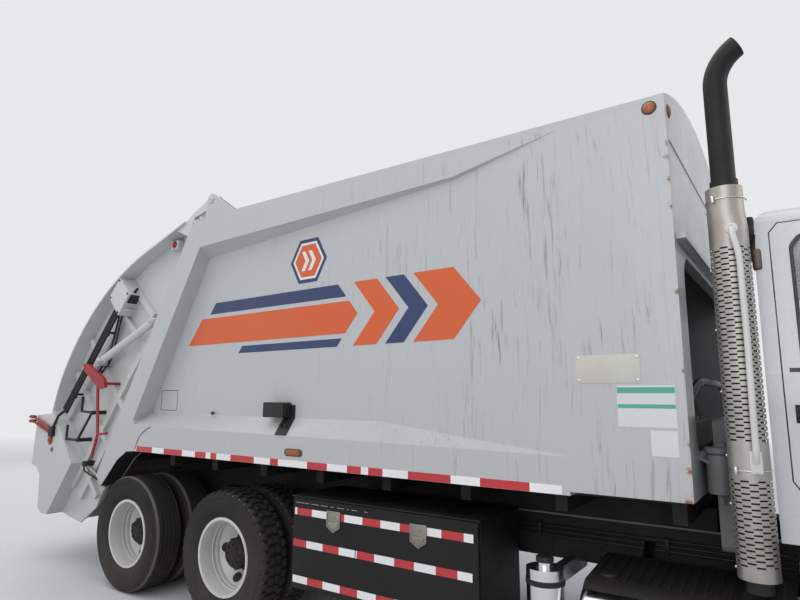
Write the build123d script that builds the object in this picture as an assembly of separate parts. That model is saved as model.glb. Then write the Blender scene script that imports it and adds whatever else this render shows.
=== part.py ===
from build123d import *
from math import cos, hypot, radians, sin, sqrt
import os

# Rear loading garbage truck, in millimetres, +X towards the cab, +Y to the left, +Z up.
# Heights are from the ground. Lengths are from the rearmost axle while modelling, and each
# piece is moved by ORIGIN_X when it is written, which puts the origin at mid length.

# Driving dimensions: axles and wheels
TANDEM_SPACING = 1370.0
FRONT_AXLE_X = 6900.0
TYRE_R = 508.0
TYRE_HALF_WIDTH = 138.0
BEAD_R = 286.0
FLANGE_R = 299.0
RIM_HALF_WIDTH = 105.0
OUTER_TYRE_Y = 1102.0
INNER_TYRE_Y = 760.0
FRONT_TYRE_Y = 1040.0
HUB_BORE_R = 45.05
RUNNING_GAP = 0.05
SPINDLE_R = HUB_BORE_R - RUNNING_GAP
DRUM_R = 205.0
KINGPIN_Y = 850.0
KINGPIN_R = 22.0

# Driving dimensions: frame
RAIL_REAR = -560.0
RAIL_FRONT = FRONT_AXLE_X + 800
RAIL_OUT_Y = 430.0
RAIL_FLANGE = 85.0
RAIL_WALL = 9.0
RAIL_BOTTOM = 720.0
RAIL_TOP = 990.0
SEAT = 0.3

# Driving dimensions: load body
BODY_HALF = 1220.0
SIDE_DEPTH = 190.0
BODY_INNER = BODY_HALF - SIDE_DEPTH
BODY_FRONT = 4800.0
BULKHEAD_T = 60.0
SIDE_BOTTOM = 1250.0
SIDE_TOP = 3345.0
EAVE_RISE = 40.0
CROWN_RISE = 245.0
SIDE_EDGE_TOP = SIDE_TOP + EAVE_RISE
ROOF_CROWN = SIDE_EDGE_TOP + CROWN_RISE
ROOF_T = 45.0
FLOOR_TOP = 1280.0
SEAM_TOP = (720.0, SIDE_EDGE_TOP)
SEAM_SLOPE = 0.549
RECESS_AT_AXLE = 180.0
RECESS_END_X = 4200.0
POST_FRONT_LOW = (-25.0, 1540.0)
POST_FRONT_TOP = (840.0, 3110.0)

# Driving dimensions: tailgate
TAIL_HINGE = (970.0, 3540.0)
TAIL_GAP = 15.0
TAIL_SHEET_IN = BODY_INNER + 5
TAIL_SHEET_OUT = TAIL_SHEET_IN + 20
TAIL_RIB_OUT = BODY_HALF - 120
LIFT_BARREL_PIN = (110.0, 2475.0)
LIFT_ROD_PIN = (-800.0, 2115.0)
LIFT_Y = BODY_HALF - 48
LIFT_R = 40.0
LIFT_ROD_R = 24.0
LIFT_PIN_R = 22.0
HOPPER_CENTRE = (-1300.0, 1160.0)
HOPPER_R = 700.0
HOPPER_T = 28.0
SILL_REAR = -2005.0
TAIL_REAR = -2100.0

# Driving dimensions: packer and ejector
PACKER_HINGE = (-910.0, 1656.0)
PACKER_SLOPE = (0.65, 0.76)
CARRIAGE_LENGTH = 1150.0
BLADE_LENGTH = 550.0
BLADE_ANGLE = -62.0
EJECTOR_LOW_X = 3250.0
EJECTOR_T = 60.0
EJECTOR_TRAVEL = 3200.0
STAGE_OVERLAP = 75.0
STAGE_R = [95.0, 72.0, 52.0, 34.0]
CYL_Z = 1560.0

# Driving dimensions: cab
CAB_REAR = 5130.0
CAB_HALF = 1060.0
CAB_BOTTOM = 1110.0
CAB_BELT = 1880.0
CAB_ROOF = 2740.0
CAB_WALL = 50.0
COWL_X = CAB_REAR + 1200
ROOF_CORNER_R = 110.0
DOOR_HINGE_R = 11.0
DOOR_REAR = CAB_REAR + 66
DOOR_FRONT = CAB_REAR + 1020
DOOR_GAP = 6.0
HOOD_FRONT = FRONT_AXLE_X + 950
HOOD_HINGE = (HOOD_FRONT - 25, 871.0)
HOOD_PIN_R = 16.0
HOOD_EAR_R = 26.0
HOOD_GAP = 12.0
BUMPER_FRONT = HOOD_FRONT + 150
BUMPER_Z = (480.0, 840.0)
BUMPER_SHEET = 15.0

# Driving dimensions: exhaust stack
STACK_X = CAB_REAR - 95
STACK_Y = -(CAB_HALF + 85)
STACK_R = 57.0
STACK_WALL = 4.0
SHIELD_R = 88.0
SHIELD_T = 6.0
SHIELD_Z = (960.0, 2810.0)

ORIGIN_X = (TAIL_REAR + BUMPER_FRONT) / 2

os.makedirs("parts", exist_ok=True)


def bar(x0, x1, y0, y1, z0, z1):
    """A box between two corners."""
    centre = Pos((x0 + x1) / 2, (y0 + y1) / 2, (z0 + z1) / 2)
    return centre * Box(abs(x1 - x0), abs(y1 - y0), abs(z1 - z0))


def slab_y(points, y0, y1):
    """A polygon of (x, z) points, as thick as y0 to y1."""
    face = make_face(Plane.XZ * Polyline(*points, close=True))
    return Pos(0, min(y0, y1), 0) * extrude(face, amount=abs(y1 - y0), dir=(0, 1, 0))


def slab_x(points, x0, x1):
    """A polygon of (y, z) points, as thick as x0 to x1."""
    face = make_face(Plane.YZ * Polyline(*points, close=True))
    return Pos(x0, 0, 0) * extrude(face, amount=x1 - x0, dir=(1, 0, 0))


def slab_z(points, z0, z1):
    """A polygon of (x, y) points, as thick as z0 to z1."""
    face = make_face(Plane.XY * Polyline(*points, close=True))
    return Pos(0, 0, z0) * extrude(face, amount=z1 - z0, dir=(0, 0, 1))


def shaft_y(x, z, r, y0, y1):
    """A round bar along Y."""
    return Pos(x, (y0 + y1) / 2, z) * Rot(90, 0, 0) * Cylinder(r, abs(y1 - y0))


def shaft_x(y, z, r, x0, x1):
    """A round bar along X."""
    return Pos((x0 + x1) / 2, y, z) * Rot(0, 90, 0) * Cylinder(r, abs(x1 - x0))


def shaft_z(x, y, r, z0, z1):
    """A round bar along Z."""
    return Pos(x, y, (z0 + z1) / 2) * Cylinder(r, abs(z1 - z0))


def rod(a, b, r):
    """A round bar from point a to point b."""
    start, end = Vector(*a), Vector(*b)
    along = end - start
    return Plane(origin=start, z_dir=along) * Pos(0, 0, along.length / 2) * Cylinder(r, along.length)


def turned(points, x, z):
    """A ring turned about the Y axis through (x, z), from (radius, y) points."""
    profile = make_face(Plane.XY * Polyline(*points, close=True))
    return Pos(x, 0, z) * revolve(profile, Axis.Y)


def flip(shape):
    """The same piece on the other side of the truck."""
    return mirror(shape, Plane.XZ)


def pair(shape):
    """A piece and its mirror image."""
    return shape + flip(shape)


def write(node, shape):
    """Writes one node, moved so that the origin is at mid length."""
    solids = [s for s in shape.solids()]
    moved = [Pos(-ORIGIN_X, 0, 0) * s for s in solids]
    piece = moved[0] if len(moved) == 1 else Compound(children=moved)
    export_step(piece, os.path.join("parts", node + ".step"))


def seam_x(z):
    """The slanted joint between body and tailgate, at height z."""
    return SEAM_TOP[0] - (SEAM_TOP[1] - z) * SEAM_SLOPE


# Wheels
HUB_HIGH = TYRE_R


def tyre(x, y):
    """One tyre, its wide sidewalls over the rim's flanges."""
    half = TYRE_HALF_WIDTH
    bead = RIM_HALF_WIDTH - SEAT
    # radius, half width
    side = [
        (BEAD_R + SEAT, bead), (FLANGE_R + 2, bead), (FLANGE_R + 75, half),
        (TYRE_R - 34, half - 5), (TYRE_R, half - 36),
    ]
    ring = [(r, w) for r, w in side] + [(r, -w) for r, w in reversed(side)]
    return Pos(0, y, 0) * turned(ring, x, HUB_HIGH)


def rim(x, y, nave_y, disc_y):
    """One disc wheel: barrel with two flanges, and a cone from nave_y down to its flat disc at disc_y."""
    barrel_in = BEAD_R - 9
    edge = RIM_HALF_WIDTH + 6
    half = RIM_HALF_WIDTH
    barrel = [
        (barrel_in, y - edge), (FLANGE_R, y - edge), (FLANGE_R, y - half), (BEAD_R, y - half),
        (BEAD_R, y + half), (FLANGE_R, y + half), (FLANGE_R, y + edge), (barrel_in, y + edge),
    ]
    out = 1 if disc_y > nave_y else -1
    disc = [
        (100, disc_y), (175, disc_y), (barrel_in + 2, nave_y + 12 * out),
        (barrel_in + 2, nave_y), (170, disc_y - 12 * out), (100, disc_y - 12 * out),
    ]
    return turned(barrel, x, HUB_HIGH) + turned(disc, x, HUB_HIGH)


def hand_holes(x, y0, y1, count, ring_r, hole_r):
    """The round holes in a disc wheel, as cutters."""
    holes = Part()
    for i in range(count):
        a = radians(360 / count * (i + 0.5))
        holes += shaft_y(x + ring_r * cos(a), HUB_HIGH + ring_r * sin(a), hole_r, y0, y1)
    return holes


DUAL_MID = (OUTER_TYRE_Y + INNER_TYRE_Y) / 2
HUB_NOSE_Y = DUAL_MID + 175


def rear_rims(x):
    """The left twin wheels of one axle, bolted back to back on their hub and brake drum."""
    outer = rim(x, OUTER_TYRE_Y, OUTER_TYRE_Y - 70, DUAL_MID)
    inner = rim(x, INNER_TYRE_Y, INNER_TYRE_Y + 70, DUAL_MID)
    drum = turned(
        [
            (HUB_BORE_R, 640), (DRUM_R, 640), (DRUM_R, 850), (150, DUAL_MID - 12), (150, DUAL_MID + 22),
            (112, DUAL_MID + 30), (112, HUB_NOSE_Y - 25), (88, HUB_NOSE_Y), (HUB_BORE_R, HUB_NOSE_Y),
        ],
        x, HUB_HIGH,
    )
    return outer + inner + drum - hand_holes(x, DUAL_MID - 80, DUAL_MID + 90, 5, 222, 26)


FRONT_DISC_Y = FRONT_TYRE_Y + 135
FRONT_NOSE_Y = FRONT_DISC_Y + 60


def front_rim():
    """The left front wheel, its disc standing out, with the hub and drum behind it."""
    wheel = rim(FRONT_AXLE_X, FRONT_TYRE_Y, FRONT_TYRE_Y + 60, FRONT_DISC_Y)
    hub = turned(
        [
            (HUB_BORE_R, 940), (DRUM_R - 5, 940), (DRUM_R - 5, 1040), (110, 1070),
            (110, FRONT_DISC_Y - 12), (140, FRONT_DISC_Y - 12), (140, FRONT_DISC_Y + 14),
            (80, FRONT_NOSE_Y), (HUB_BORE_R, FRONT_NOSE_Y),
        ],
        FRONT_AXLE_X, HUB_HIGH,
    )
    return wheel + hub - hand_holes(FRONT_AXLE_X, FRONT_TYRE_Y + 40, FRONT_DISC_Y + 10, 5, 225, 26)


# name, axle x
REAR_AXLES = [("rear", 0.0), ("middle", TANDEM_SPACING)]
for name, axle_x in REAR_AXLES:
    twin = tyre(axle_x, OUTER_TYRE_Y) + tyre(axle_x, INNER_TYRE_Y)
    rims = rear_rims(axle_x)
    write("tyres_" + name + "_left", twin)
    write("tyres_" + name + "_right", flip(twin))
    write("rims_" + name + "_left", rims)
    write("rims_" + name + "_right", flip(rims))
steer_tyre = tyre(FRONT_AXLE_X, FRONT_TYRE_Y)
steer_rim = front_rim()
write("tyre_front_left", steer_tyre)
write("tyre_front_right", flip(steer_tyre))
write("rim_front_left", steer_rim)
write("rim_front_right", flip(steer_rim))

# Frame rails and crossmembers
WEB_IN = RAIL_OUT_Y - RAIL_WALL
rail = bar(RAIL_REAR, RAIL_FRONT, WEB_IN, RAIL_OUT_Y, RAIL_BOTTOM, RAIL_TOP)
rail += bar(RAIL_REAR, RAIL_FRONT, RAIL_OUT_Y - RAIL_FLANGE, RAIL_OUT_Y, RAIL_BOTTOM, RAIL_BOTTOM + RAIL_WALL)
rail += bar(RAIL_REAR, RAIL_FRONT, RAIL_OUT_Y - RAIL_FLANGE, RAIL_OUT_Y, RAIL_TOP - RAIL_WALL, RAIL_TOP)
frame = pair(rail)
CROSS_X = [-500.0, TANDEM_SPACING / 2, 2400.0, 4000.0, 7550.0]
for cross_x in CROSS_X:
    frame += bar(cross_x - 45, cross_x + 45, -WEB_IN, WEB_IN, 885, 968)
write("frame_rails", frame)

# Rear axles with their walking beams and brake chambers
AXLE_TUBE_R = 80.0
BEAM_Y = (470.0, 560.0)
CHAMBER_Y = 330.0
CHAMBER_R = 75.0
CHAMBER_Z = RAIL_BOTTOM - CHAMBER_R - 10
bogie = Part()
for name, axle_x in REAR_AXLES:
    bogie += shaft_y(axle_x, HUB_HIGH, AXLE_TUBE_R, -632, 632)
    bogie += shaft_y(axle_x, HUB_HIGH, SPINDLE_R, -HUB_NOSE_Y + 20, HUB_NOSE_Y - 20)
    bogie += Pos(axle_x, 0, HUB_HIGH) * Sphere(205)
    bogie += shaft_x(0, HUB_HIGH + 40, 90, axle_x, axle_x + 330)
    bogie += pair(bar(axle_x - 70, axle_x + 70, *BEAM_Y, 395, HUB_HIGH))
    bogie += pair(shaft_x(CHAMBER_Y, CHAMBER_Z, CHAMBER_R, axle_x - 290, axle_x - 120))
    bogie += pair(bar(axle_x - 140, axle_x, CHAMBER_Y - 25, CHAMBER_Y + 25, 560, CHAMBER_Z))
bogie += shaft_x(0, HUB_HIGH + 40, 45, 300, TANDEM_SPACING)
mid_x = TANDEM_SPACING / 2
beam = [(-90, 330), (mid_x - 200, 300), (mid_x + 200, 300), (TANDEM_SPACING + 90, 330),
        (TANDEM_SPACING + 90, 425), (mid_x + 160, 440), (mid_x - 160, 440), (-90, 425)]
hanger = [(mid_x - 70, 380), (mid_x + 70, 380), (mid_x + 190, 900), (mid_x - 190, 900)]
bogie += pair(slab_y(beam, *BEAM_Y))
bogie += pair(slab_y(hanger, RAIL_OUT_Y + SEAT, BEAM_Y[1] - 20))
write("rear_bogie", bogie)

# Front axle beam with its leaf springs and kingpins
BEAM_LOW = 360.0
BEAM_END = KINGPIN_Y - 30
BEAM_NECK = KINGPIN_Y - 95
BEAM_DROP = KINGPIN_Y - 190
BEAM_Z = (462.0, 553.0)
beam_low = [(-BEAM_END, BEAM_Z[0]), (-BEAM_NECK, BEAM_Z[0]), (-BEAM_DROP, BEAM_LOW)]
beam_high = [(-BEAM_DROP, BEAM_LOW + 110), (-BEAM_NECK, BEAM_Z[1]), (-BEAM_END, BEAM_Z[1])]
beam_line = beam_low + [(-y, z) for y, z in beam_low[::-1]] + [(-y, z) for y, z in beam_high[::-1]] + beam_high
axle_beam = slab_x(beam_line, FRONT_AXLE_X - 55, FRONT_AXLE_X + 55)
axle_beam += pair(shaft_z(FRONT_AXLE_X, KINGPIN_Y, 48, 460, 556))
axle_beam += pair(shaft_z(FRONT_AXLE_X, KINGPIN_Y, KINGPIN_R, 395, 621))
SPRING_Y = (440.0, 530.0)
spring = Part()
# half length, lowest z, highest z
LEAVES = [(430, 560, 590), (620, 590, 620), (800, 620, 650)]
for half, low, high in LEAVES:
    spring += bar(FRONT_AXLE_X - half, FRONT_AXLE_X + half, *SPRING_Y, low, high)
spring += bar(FRONT_AXLE_X - 110, FRONT_AXLE_X + 110, *SPRING_Y, 440, 560)
for end in (-1, 1):
    end_x = FRONT_AXLE_X + end * 770
    hanger = [(end_x - 40, 620), (end_x + 40, 620), (end_x + 70, 860), (end_x - 70, 860)]
    spring += slab_y(hanger, RAIL_OUT_Y + SEAT, SPRING_Y[1])
write("front_axle", axle_beam + pair(spring))

# Steering knuckles and tie rod
ARM_X = FRONT_AXLE_X - 330
ARM_Y = KINGPIN_Y
ARM_Z = (400.0, 436.0)
TIE_PIN_R = 12.0
knuckle = bar(FRONT_AXLE_X - 52, FRONT_AXLE_X + 52, KINGPIN_Y - 50, KINGPIN_Y + 62, 390, 455)
knuckle += bar(FRONT_AXLE_X - 52, FRONT_AXLE_X + 52, KINGPIN_Y - 50, KINGPIN_Y + 62, 561, 626)
knuckle += bar(FRONT_AXLE_X - 60, FRONT_AXLE_X + 60, KINGPIN_Y + 55, KINGPIN_Y + 64, 390, 626)
knuckle += shaft_y(FRONT_AXLE_X, HUB_HIGH, SPINDLE_R, KINGPIN_Y + 60, FRONT_NOSE_Y - 15)
knuckle += slab_z(
    [(FRONT_AXLE_X + 20, KINGPIN_Y + 40), (ARM_X, ARM_Y + 26), (ARM_X, ARM_Y - 26),
     (FRONT_AXLE_X - 30, KINGPIN_Y - 45), (FRONT_AXLE_X + 20, KINGPIN_Y - 45)],
    *ARM_Z,
)
knuckle += shaft_z(ARM_X, ARM_Y, 26, *ARM_Z)
knuckle -= shaft_z(FRONT_AXLE_X, KINGPIN_Y, KINGPIN_R + RUNNING_GAP, 380, 640)
knuckle -= shaft_z(ARM_X, ARM_Y, TIE_PIN_R + RUNNING_GAP, ARM_Z[0] - 10, ARM_Z[1] + 10)
write("knuckle_left", knuckle)
write("knuckle_right", flip(knuckle))
TIE_Z = 370.0
tie_rod = shaft_y(ARM_X, TIE_Z, 20, -ARM_Y, ARM_Y)
tie_rod += pair(shaft_z(ARM_X, ARM_Y, 28, TIE_Z - 26, ARM_Z[0] - 5))
tie_rod += pair(shaft_z(ARM_X, ARM_Y, TIE_PIN_R, TIE_Z, ARM_Z[1] - 2))
write("tie_rod", tie_rod)

# Engine block, gearbox and propeller shaft, with the radiator ahead of them
train = bar(6370, 7150, -320, 320, 640, 1480)
train += slab_y([(5450, 700), (6370, 640), (6370, 1090), (5450, 980)], -230, 230)
train += shaft_x(0, 800, 60, 5200, 5460)
PINION_X = TANDEM_SPACING + 330
train += rod((5205, 0, 800), (PINION_X + 30, 0, HUB_HIGH + 40), 48)
train += shaft_x(0, HUB_HIGH + 40, 62, PINION_X + SEAT, PINION_X + 60)
radiator = bar(7280, 7360, -RAIL_OUT_Y, RAIL_OUT_Y, RAIL_TOP + SEAT, 1560)
write("powertrain", train + radiator)

# Bumper
bumper_half = BODY_HALF - 40
end_half = BODY_HALF - 5
web_x = HOOD_FRONT - BUMPER_SHEET
corner_x = BUMPER_FRONT - 40
right_line = [
    (corner_x, -900), (HOOD_FRONT, -bumper_half), (RAIL_FRONT, -end_half), (RAIL_FRONT, -end_half + 20),
    (web_x, -bumper_half + BUMPER_SHEET),
]
left_line = [(x, -y) for x, y in reversed(right_line)]
bumper = slab_z(right_line + left_line + [(BUMPER_FRONT, 0)], *BUMPER_Z)
hollow_z = (BUMPER_Z[0] + 20, BUMPER_Z[1] - 20)
bumper -= bar(web_x + 1, BUMPER_FRONT - 65, -870, 870, *hollow_z)
bumper += pair(bar(RAIL_FRONT + SEAT, HOOD_FRONT, RAIL_OUT_Y - 80, RAIL_OUT_Y, 700, BUMPER_Z[1] - 10))
pivot_x, pivot_z = HOOD_HINGE
ear = bar(pivot_x - HOOD_EAR_R, pivot_x + HOOD_EAR_R, 586, 614, BUMPER_Z[1] - 14, pivot_z)
ear += shaft_y(pivot_x, pivot_z, HOOD_EAR_R, 586, 614)
bumper += pair(ear - shaft_y(pivot_x, pivot_z, HOOD_PIN_R + RUNNING_GAP, 580, 620))
TOW_HOLE_R = 20.0
TOW_X, TOW_Z = HOOD_FRONT + 30, BUMPER_Z[0] - 45
tow_top = BUMPER_Z[0] + 4
tow = slab_y(
    [(TOW_X - 60, tow_top), (TOW_X + 60, tow_top), (TOW_X + 38, TOW_Z - 30), (TOW_X - 38, TOW_Z - 30)],
    365, 395,
)
bumper += pair(tow - shaft_y(TOW_X, TOW_Z, TOW_HOLE_R, 360, 400))
write("bumper", bumper)

# Load body: floor with its long and cross sills
LONG_SILL_Y = (345.0, 425.0)
SILL_TOP = 1130.0
floor_rear = seam_x(FLOOR_TOP)
FLOOR_LOW = FLOOR_TOP - 50
wall_x = BODY_FRONT - BULKHEAD_T
floor = slab_y(
    [(seam_x(FLOOR_LOW), FLOOR_LOW), (wall_x, FLOOR_LOW), (wall_x, FLOOR_TOP), (floor_rear, FLOOR_TOP)],
    -BODY_INNER + SEAT, BODY_INNER - SEAT,
)
floor += pair(bar(-350, BODY_FRONT - 10, *LONG_SILL_Y, RAIL_TOP + SEAT, SILL_TOP))
CROSS_SILLS = 9
for i in range(CROSS_SILLS):
    sill_x = -250 + i * (BODY_FRONT + 150) / (CROSS_SILLS - 1)
    floor += bar(sill_x - 35, sill_x + 35, -BODY_INNER + SEAT, BODY_INNER - SEAT, SILL_TOP, FLOOR_LOW)
write("body_floor", floor)

# Load body: one side wall, with its recessed field between top rail, slanted post and skirt
RECESS_SLOPE = RECESS_AT_AXLE / RECESS_END_X


def recess(x):
    """How deep the side's field lies behind its frame."""
    return max(1.0, RECESS_SLOPE * (RECESS_END_X - x))


def side_section(x, ledge_top, crease, rail_in, rail_out):
    """The side wall's section at x, as a closed wire, bottom to top."""
    field = BODY_HALF - recess(x)
    points = [
        (x, BODY_INNER, SIDE_BOTTOM), (x, BODY_HALF, SIDE_BOTTOM), (x, BODY_HALF, crease),
        (x, field, ledge_top), (x, field, rail_in), (x, BODY_HALF, rail_out),
        (x, BODY_HALF, SIDE_TOP), (x, BODY_INNER, SIDE_TOP),
    ]
    return Polyline(*points, close=True)


# x, ledge top z, skirt crease z, rail inner z, rail outer z
SIDE_STATIONS = [
    (-100.0, 1602.0, 1490.0, 2985.0, 3080.0),
    (2900.0, 1602.0, 1467.0, 3155.0, 3178.0),
    (3500.0, 1530.0, 1461.0, 3190.0, 3199.0),
    (RECESS_END_X, 1458.0, 1452.0, 3330.0, 3334.0),
]
side = Part()
for near, far in zip(SIDE_STATIONS, SIDE_STATIONS[1:]):
    faces = [make_face(side_section(*station)) for station in (near, far)]
    side += loft(faces, ruled=True)
side += bar(RECESS_END_X, BODY_FRONT - BULKHEAD_T, BODY_INNER, BODY_HALF, SIDE_BOTTOM + 20, SIDE_TOP)
# where the side's lower edge rises over the rear wheels
WHEEL_CUT = [(40, SIDE_BOTTOM), (-100, 1240), (-250, 1150), (-500, 890), (seam_x(975), 975)]
post = [
    (seam_x(SIDE_TOP), SIDE_TOP), (POST_FRONT_TOP[0] + 129, SIDE_TOP), POST_FRONT_TOP, POST_FRONT_LOW,
    (0, 1490),
] + WHEEL_CUT
keep = [(seam_x(SIDE_TOP), SIDE_TOP), (BODY_FRONT, SIDE_TOP), (BODY_FRONT, SIDE_BOTTOM)] + WHEEL_CUT
side = (side & slab_y(keep, BODY_INNER, BODY_HALF)) + slab_y(post, BODY_INNER, BODY_HALF)
bx, bz = LIFT_BARREL_PIN
ear = slab_y(
    [(seam_x(2700), 2700), (seam_x(2250), 2250), (bx - 30, bz - 60), (bx - 50, bz + 10), (bx, bz + 60)],
    TAIL_RIB_OUT + 6, TAIL_RIB_OUT + 24,
)
side += ear + shaft_y(bx, bz, LIFT_PIN_R, TAIL_RIB_OUT + 6, LIFT_Y + 38)
right_side = flip(side)
write("body_side_left", side)
write("body_side_right", right_side)

# Work lamp on the right side: a box on a bent foot that lies on the ledge above the skirt
LAMP_X = (1780.0, 2000.0)
LAMP_Z = (1605.0, 1720.0)
LAMP_DEEP = 95.0
foot_x = (1925.0, 2040.0)
foot_y = -BODY_HALF + recess(foot_x[1])
foot = slab_x(
    [(-BODY_HALF - 8, 1480), (foot_y - 8, 1608), (foot_y - 8, LAMP_Z[1] - 20), (foot_y, LAMP_Z[1] - 20),
     (foot_y + 15, 1600), (-BODY_HALF + 8, 1470)],
    *foot_x,
)
work_lamp = bar(*LAMP_X, foot_y - LAMP_DEEP, foot_y - 7, *LAMP_Z)
work_lamp = fillet(work_lamp.edges().filter_by(Axis.Y), 12)
write("work_lamp", (foot - right_side) + work_lamp)

# Load body: crowned roof with its rear header and the tailgate's hinge lugs
half = BODY_HALF
roof_line = ThreePointArc((0, -half, SIDE_EDGE_TOP), (0, 0, ROOF_CROWN), (0, half, SIDE_EDGE_TOP))
ceiling = ThreePointArc((0, BODY_INNER, SIDE_TOP), (0, 0, ROOF_CROWN - ROOF_T), (0, -BODY_INNER, SIDE_TOP))
roof_edges = [
    roof_line, Line((0, half, SIDE_EDGE_TOP), (0, half, SIDE_TOP)),
    Line((0, half, SIDE_TOP), (0, BODY_INNER, SIDE_TOP)), ceiling,
    Line((0, -BODY_INNER, SIDE_TOP), (0, -half, SIDE_TOP)),
    Line((0, -half, SIDE_TOP), (0, -half, SIDE_EDGE_TOP)),
]
roof_length = wall_x - SEAM_TOP[0]
roof = Pos(SEAM_TOP[0], 0, 0) * extrude(make_face(Wire(roof_edges)), amount=roof_length, dir=(1, 0, 0))
crown = [roof_line, Line((0, half, SIDE_EDGE_TOP), (0, -half, SIDE_EDGE_TOP))]
header = extrude(make_face(Wire(crown)), amount=70, dir=(1, 0, 0))
roof += Pos(SEAM_TOP[0], 0, 0) * header
hx, hz = TAIL_HINGE
LUG_R = 55.0
LUG_Y = [(BODY_HALF - 82, BODY_HALF - 64), (BODY_HALF - 18, BODY_HALF)]
for y0, y1 in LUG_Y:
    lug_line = [(hx - 80, 3380), (hx + 330, 3380), (hx + 60, hz + 20), (hx - 40, hz + 20), (hx - 60, hz)]
    lug = slab_y(lug_line, y0, y1)
    lug += shaft_y(hx, hz, LUG_R, y0, y1)
    roof += pair(lug)
HINGE_PIN_R = 25.0
roof += pair(shaft_y(hx, hz, HINGE_PIN_R, LUG_Y[0][0], LUG_Y[1][1]))
write("body_roof", roof)

# Load body: front wall with its wide opening
wall_low = SIDE_BOTTOM + 20
wall_edges = [
    roof_line, Line((0, half, SIDE_EDGE_TOP), (0, half, wall_low)),
    Line((0, half, wall_low), (0, -half, wall_low)), Line((0, -half, wall_low), (0, -half, SIDE_EDGE_TOP)),
]
wall = extrude(make_face(Wire(wall_edges)), amount=BULKHEAD_T - SEAT, dir=(1, 0, 0))
bulkhead = Pos(wall_x + SEAT, 0, 0) * wall
OPENING_HALF = BODY_INNER - 30
OPENING_Z = (1460.0, 2540.0)
opening = bar(BODY_FRONT - 100, BODY_FRONT + 10, -OPENING_HALF, OPENING_HALF, *OPENING_Z)
opening = fillet(opening.edges().filter_by(Axis.X), 150)
bulkhead -= opening
bulkhead += bar(BODY_FRONT - 1, BODY_FRONT + 45, -BODY_HALF + 60, BODY_HALF - 60, 2590, 2625)
write("body_bulkhead", bulkhead)

# Ejector panel on its sled, with a three stage cylinder
low_x = EJECTOR_LOW_X
EJECTOR_TOP = SIDE_TOP - 75
rise = EJECTOR_TOP - FLOOR_TOP
face_top = low_x + rise * SEAM_SLOPE
EJECTOR_HALF = BODY_INNER - 6
sled_low = FLOOR_TOP + SEAT
sled_top = FLOOR_TOP + 140
sled_x = wall_x - 140
panel_line = [
    (low_x, sled_low), (low_x + EJECTOR_T, sled_low), (face_top + EJECTOR_T, EJECTOR_TOP), (face_top, EJECTOR_TOP),
]
panel = slab_y(panel_line, -EJECTOR_HALF, EJECTOR_HALF)
runner = [(low_x, sled_low), (sled_x, sled_low), (sled_x, sled_top), (low_x + 80, sled_top)]
brace = [
    (low_x + 50, sled_top - 20), (sled_x, sled_top - 20), (sled_x, sled_top + 50), (sled_x - 300, 2700),
    (sled_x - 420, 2700), (sled_x - 160, sled_top + 50), (low_x + 80, sled_top + 20),
]
sled = slab_y(runner, EJECTOR_HALF - 144, EJECTOR_HALF)
sled += slab_y(brace, EJECTOR_HALF - 94, EJECTOR_HALF - 64)
panel += pair(sled)
cylinder_start = low_x + EJECTOR_T + (CYL_Z + STAGE_R[0] - FLOOR_TOP) * SEAM_SLOPE + 15
cylinder_end = cylinder_start + EJECTOR_TRAVEL / 3 + STAGE_OVERLAP
panel += shaft_x(0, CYL_Z, STAGE_R[3], cylinder_start - 100, cylinder_end - 30)
write("ejector_panel", panel)
for i, node in [(2, "ejector_stage_2"), (1, "ejector_stage_1"), (0, "ejector_barrel")]:
    first = cylinder_start + 12 * (2 - i)
    last = cylinder_end - 9 * i
    sleeve = shaft_x(0, CYL_Z, STAGE_R[i], first, last)
    sleeve -= shaft_x(0, CYL_Z, STAGE_R[i + 1] + SEAT, first - 1, last - 7)
    if i == 0:
        beam_half = BODY_INNER - SEAT
        sleeve += bar(last - 5, wall_x, -beam_half, beam_half, CYL_Z - 70, CYL_Z + 70)
    write(node, sleeve)

# Tailgate side: sheet, arched flange, ribs, and the arm to the hinge
GAP_X = TAIL_GAP * sqrt(1 + SEAM_SLOPE ** 2)


def tail_front(z):
    """The tailgate's front edge, behind the joint."""
    return seam_x(z) - GAP_X


# x, z: the arch's straight top, then two arcs of three points each
ARCH = [(575, 3400), (0, 3205), (-795, 2792), (-1475, 2025), (-1580, 1800), (-1650, 1560)]
ARCH_CENTRE = (200.0, 1500.0)
WING = [
    (-1975, 1540), (SILL_REAR, 1000), (-1890, 975), (-1790, 900), (-1760, 550), (-1675, 505), (-1550, 500),
    (-1140, 440), (-850, 625), (-750, 800), (-640, 890),
]
FLANGE_T = 16.0
IN_SHEET = 5.0


def face_y(points):
    """A flat face inside a closed outline of (x, z) points."""
    return make_face(Plane.XZ * Polyline(*points, close=True))


def thick_y(face, y0, y1):
    """A flat face made as thick as y0 to y1."""
    return Pos(0, y0, 0) * extrude(face, amount=y1 - y0, dir=(0, 1, 0))


def arc_points(arc, count):
    """Points that part an arc into equal runs, its first point left out."""
    return [((arc @ (i / count)).X, (arc @ (i / count)).Y) for i in range(1, count + 1)]


def arch_points(inward):
    """Points along the arch, moved inward: its straight top, then its two arcs."""
    run = ARCH[:2] + arc_points(ThreePointArc(*ARCH[1:4]), 18) + arc_points(ThreePointArc(*ARCH[3:6]), 5)
    points = []
    for x, z in run:
        share = inward / hypot(x - ARCH_CENTRE[0], z - ARCH_CENTRE[1])
        points.append((x + (ARCH_CENTRE[0] - x) * share, z + (ARCH_CENTRE[1] - z) * share))
    return points


def strip(a, b, width):
    """The face of a flat bar from a to b."""
    length = hypot(b[0] - a[0], b[1] - a[1])
    nx, nz = -(b[1] - a[1]) / length * width / 2, (b[0] - a[0]) / length * width / 2
    corners = [(a[0] + nx, a[1] + nz), (b[0] + nx, b[1] + nz), (b[0] - nx, b[1] - nz), (a[0] - nx, a[1] - nz)]
    return face_y(corners)


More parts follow.
